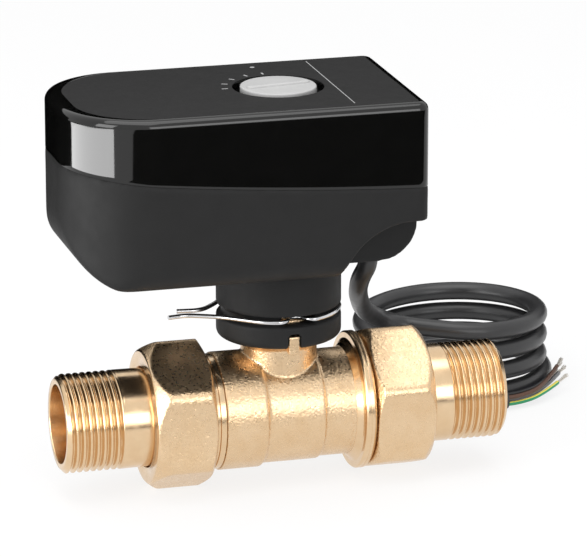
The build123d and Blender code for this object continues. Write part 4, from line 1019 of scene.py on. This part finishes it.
def base_weight(x, y, z):
    """Eases the large rounds at the lower left most, the rim and the neck hardly."""
    line = parting(x)
    soft = 1.0 - 0.8 * ramp(x, -42.0, -8.0)
    soft = soft * (1.0 - 0.8 * ramp(z, line - 6.0, line - 2.0))
    neck = (1.0 - ramp(np.hypot(x, y), 22.0, 24.0)) * (1.0 - ramp(z, 50.0, 54.0))
    return soft * (1.0 - 0.85 * neck)


def flat_rim(local):
    """Lays the rim's faces just under the parting line."""
    line = parting(local[:, 0])
    near = local[:, 2] > line - 0.55
    local[near, 2] = line[near] - 0.02
    return local


softened(
    "base_moulding", "base_housing", 0.6, 26, 0.0, base_weight, "housing_matte", 40, flat_rim,
)


# Floor and world

LEVEL = FLOOR * MM
ROOM = 3.0
WHITE_SHARE = 0.8


def stage_plane(name, corners):
    """A flat card of the stage."""
    mesh = bpy.data.meshes.new(name)
    mesh.from_pydata([Vector(c) for c in corners], [], [tuple(range(len(corners)))])
    card = in_scene(name, mesh)
    return card


def clear_rays(tree):
    """1 for camera, glossy and transmission rays, 0 for the rest."""
    path = tree.nodes.new("ShaderNodeLightPath")
    total = path.outputs["Is Camera Ray"]
    for name in ("Is Glossy Ray", "Is Transmission Ray"):
        both = tree.nodes.new("ShaderNodeMath")
        both.operation = "MAXIMUM"
        tree.links.new(total, both.inputs[0])
        tree.links.new(path.outputs[name], both.inputs[1])
        total = both.outputs[0]
    return total


def floor_paper():
    """Pale paper that the camera and reflections see mostly white, with shadows still on it."""
    paper = bpy.data.materials.new("floor_paper")
    paper.use_nodes = True
    tree = paper.node_tree
    surface = tree.nodes["Principled BSDF"]
    surface.inputs["Base Color"].default_value = (0.93, 0.93, 0.93, 1.0)
    surface.inputs["Roughness"].default_value = 0.9
    surface.inputs["Specular IOR Level"].default_value = 0.1
    white = tree.nodes.new("ShaderNodeEmission")
    white.inputs["Color"].default_value = (1.0, 1.0, 1.0, 1.0)
    white.inputs["Strength"].default_value = 1.0
    share = tree.nodes.new("ShaderNodeMath")
    share.operation = "MULTIPLY"
    share.inputs[1].default_value = WHITE_SHARE
    tree.links.new(clear_rays(tree), share.inputs[0])
    blend = tree.nodes.new("ShaderNodeMixShader")
    tree.links.new(share.outputs[0], blend.inputs[0])
    tree.links.new(surface.outputs[0], blend.inputs[1])
    tree.links.new(white.outputs[0], blend.inputs[2])
    tree.links.new(blend.outputs[0], tree.nodes["Material Output"].inputs["Surface"])
    return paper


def studio_world():
    """Even soft light, which the camera and reflections see as white."""
    world = bpy.data.worlds.new("studio")
    world.use_nodes = True
    tree = world.node_tree
    tint = tree.nodes.new("ShaderNodeMix")
    tint.data_type = "RGBA"
    tint.inputs[6].default_value = (0.75, 0.75, 0.76, 1.0)
    tint.inputs[7].default_value = (1.0, 1.0, 1.0, 1.0)
    tree.links.new(clear_rays(tree), tint.inputs["Factor"])
    tree.links.new(tint.outputs[2], tree.nodes["Background"].inputs["Color"])
    return world


floor = stage_plane("floor", [(x, y, LEVEL) for x, y in (
    (-ROOM, -ROOM), (ROOM, -ROOM), (ROOM, ROOM), (-ROOM, ROOM),
)])
floor.data.materials.append(floor_paper())
bpy.context.scene.world = studio_world()


# Lamps, and black cards that only reflections see

CENTRE = (0.08, 0.0, 0.04)
LEFT_CORNER_SPOT = at(-70.0, -22.0, 12.0)


def softbox(name, where, towards, size, power, diffuse=True):
    """An area lamp that the camera doesn't see."""
    data = bpy.data.lights.new(name, "AREA")
    data.shape = "RECTANGLE"
    data.size, data.size_y = size
    data.energy = power
    lamp = in_scene(name, data)
    lamp.location = where
    aim(lamp, Vector(towards) - Vector(where))
    lamp.visible_camera = False
    lamp.visible_diffuse = diffuse


softbox("top_light", (0.0, -0.1, 1.0), CENTRE, (0.9, 0.9), 5.0)
softbox("left_light", (-0.9, -0.5, 0.5), CENTRE, (0.5, 0.7), 5.0)
softbox("front_fill", (0.3, -1.2, 0.35), CENTRE, (0.6, 0.5), 3.0)
softbox(
    "strip_light", LEFT_CORNER_SPOT + Vector((-0.3, -0.035, 0.0)), LEFT_CORNER_SPOT,
    (0.436, 0.07), 0.9, diffuse=False,
)


def flag_cloth():
    """Black cloth with no shine."""
    cloth = bpy.data.materials.new("flag_cloth")
    cloth.use_nodes = True
    shader = cloth.node_tree.nodes["Principled BSDF"]
    shader.inputs["Base Color"].default_value = (0.0, 0.0, 0.0, 1.0)
    shader.inputs["Roughness"].default_value = 1.0
    shader.inputs["Specular IOR Level"].default_value = 0.0
    return cloth


FLAG_CLOTH = flag_cloth()
FLAG_LEVEL = LEVEL + 0.001
REAR_Y = 0.8
REAR_TOP = 0.46


def flag(name, corners):
    """A black card that dims some reflections and nothing else."""
    card = stage_plane(name, corners)
    card.visible_camera = False
    card.visible_diffuse = False
    card.visible_shadow = False
    card.visible_transmission = False
    card.data.materials.append(FLAG_CLOTH)


def floor_flag(name, outline):
    """A black card that lies just over the floor."""
    flag(name, [(x, y, FLAG_LEVEL) for x, y in outline])


floor_flag("front_flag", [(-0.10, -0.22), (1.2, -0.22), (1.2, -1.6), (-0.50, -1.6)])
floor_flag("back_flag", [(-1.2, 0.16), (0.3, 0.24), (0.3, 1.3), (-1.2, 1.3)])
flag("rear_flag", [(x, REAR_Y, z) for x, z in (
    (-1.2, FLAG_LEVEL), (1.8, FLAG_LEVEL), (1.8, REAR_TOP), (-1.2, REAR_TOP),
)])
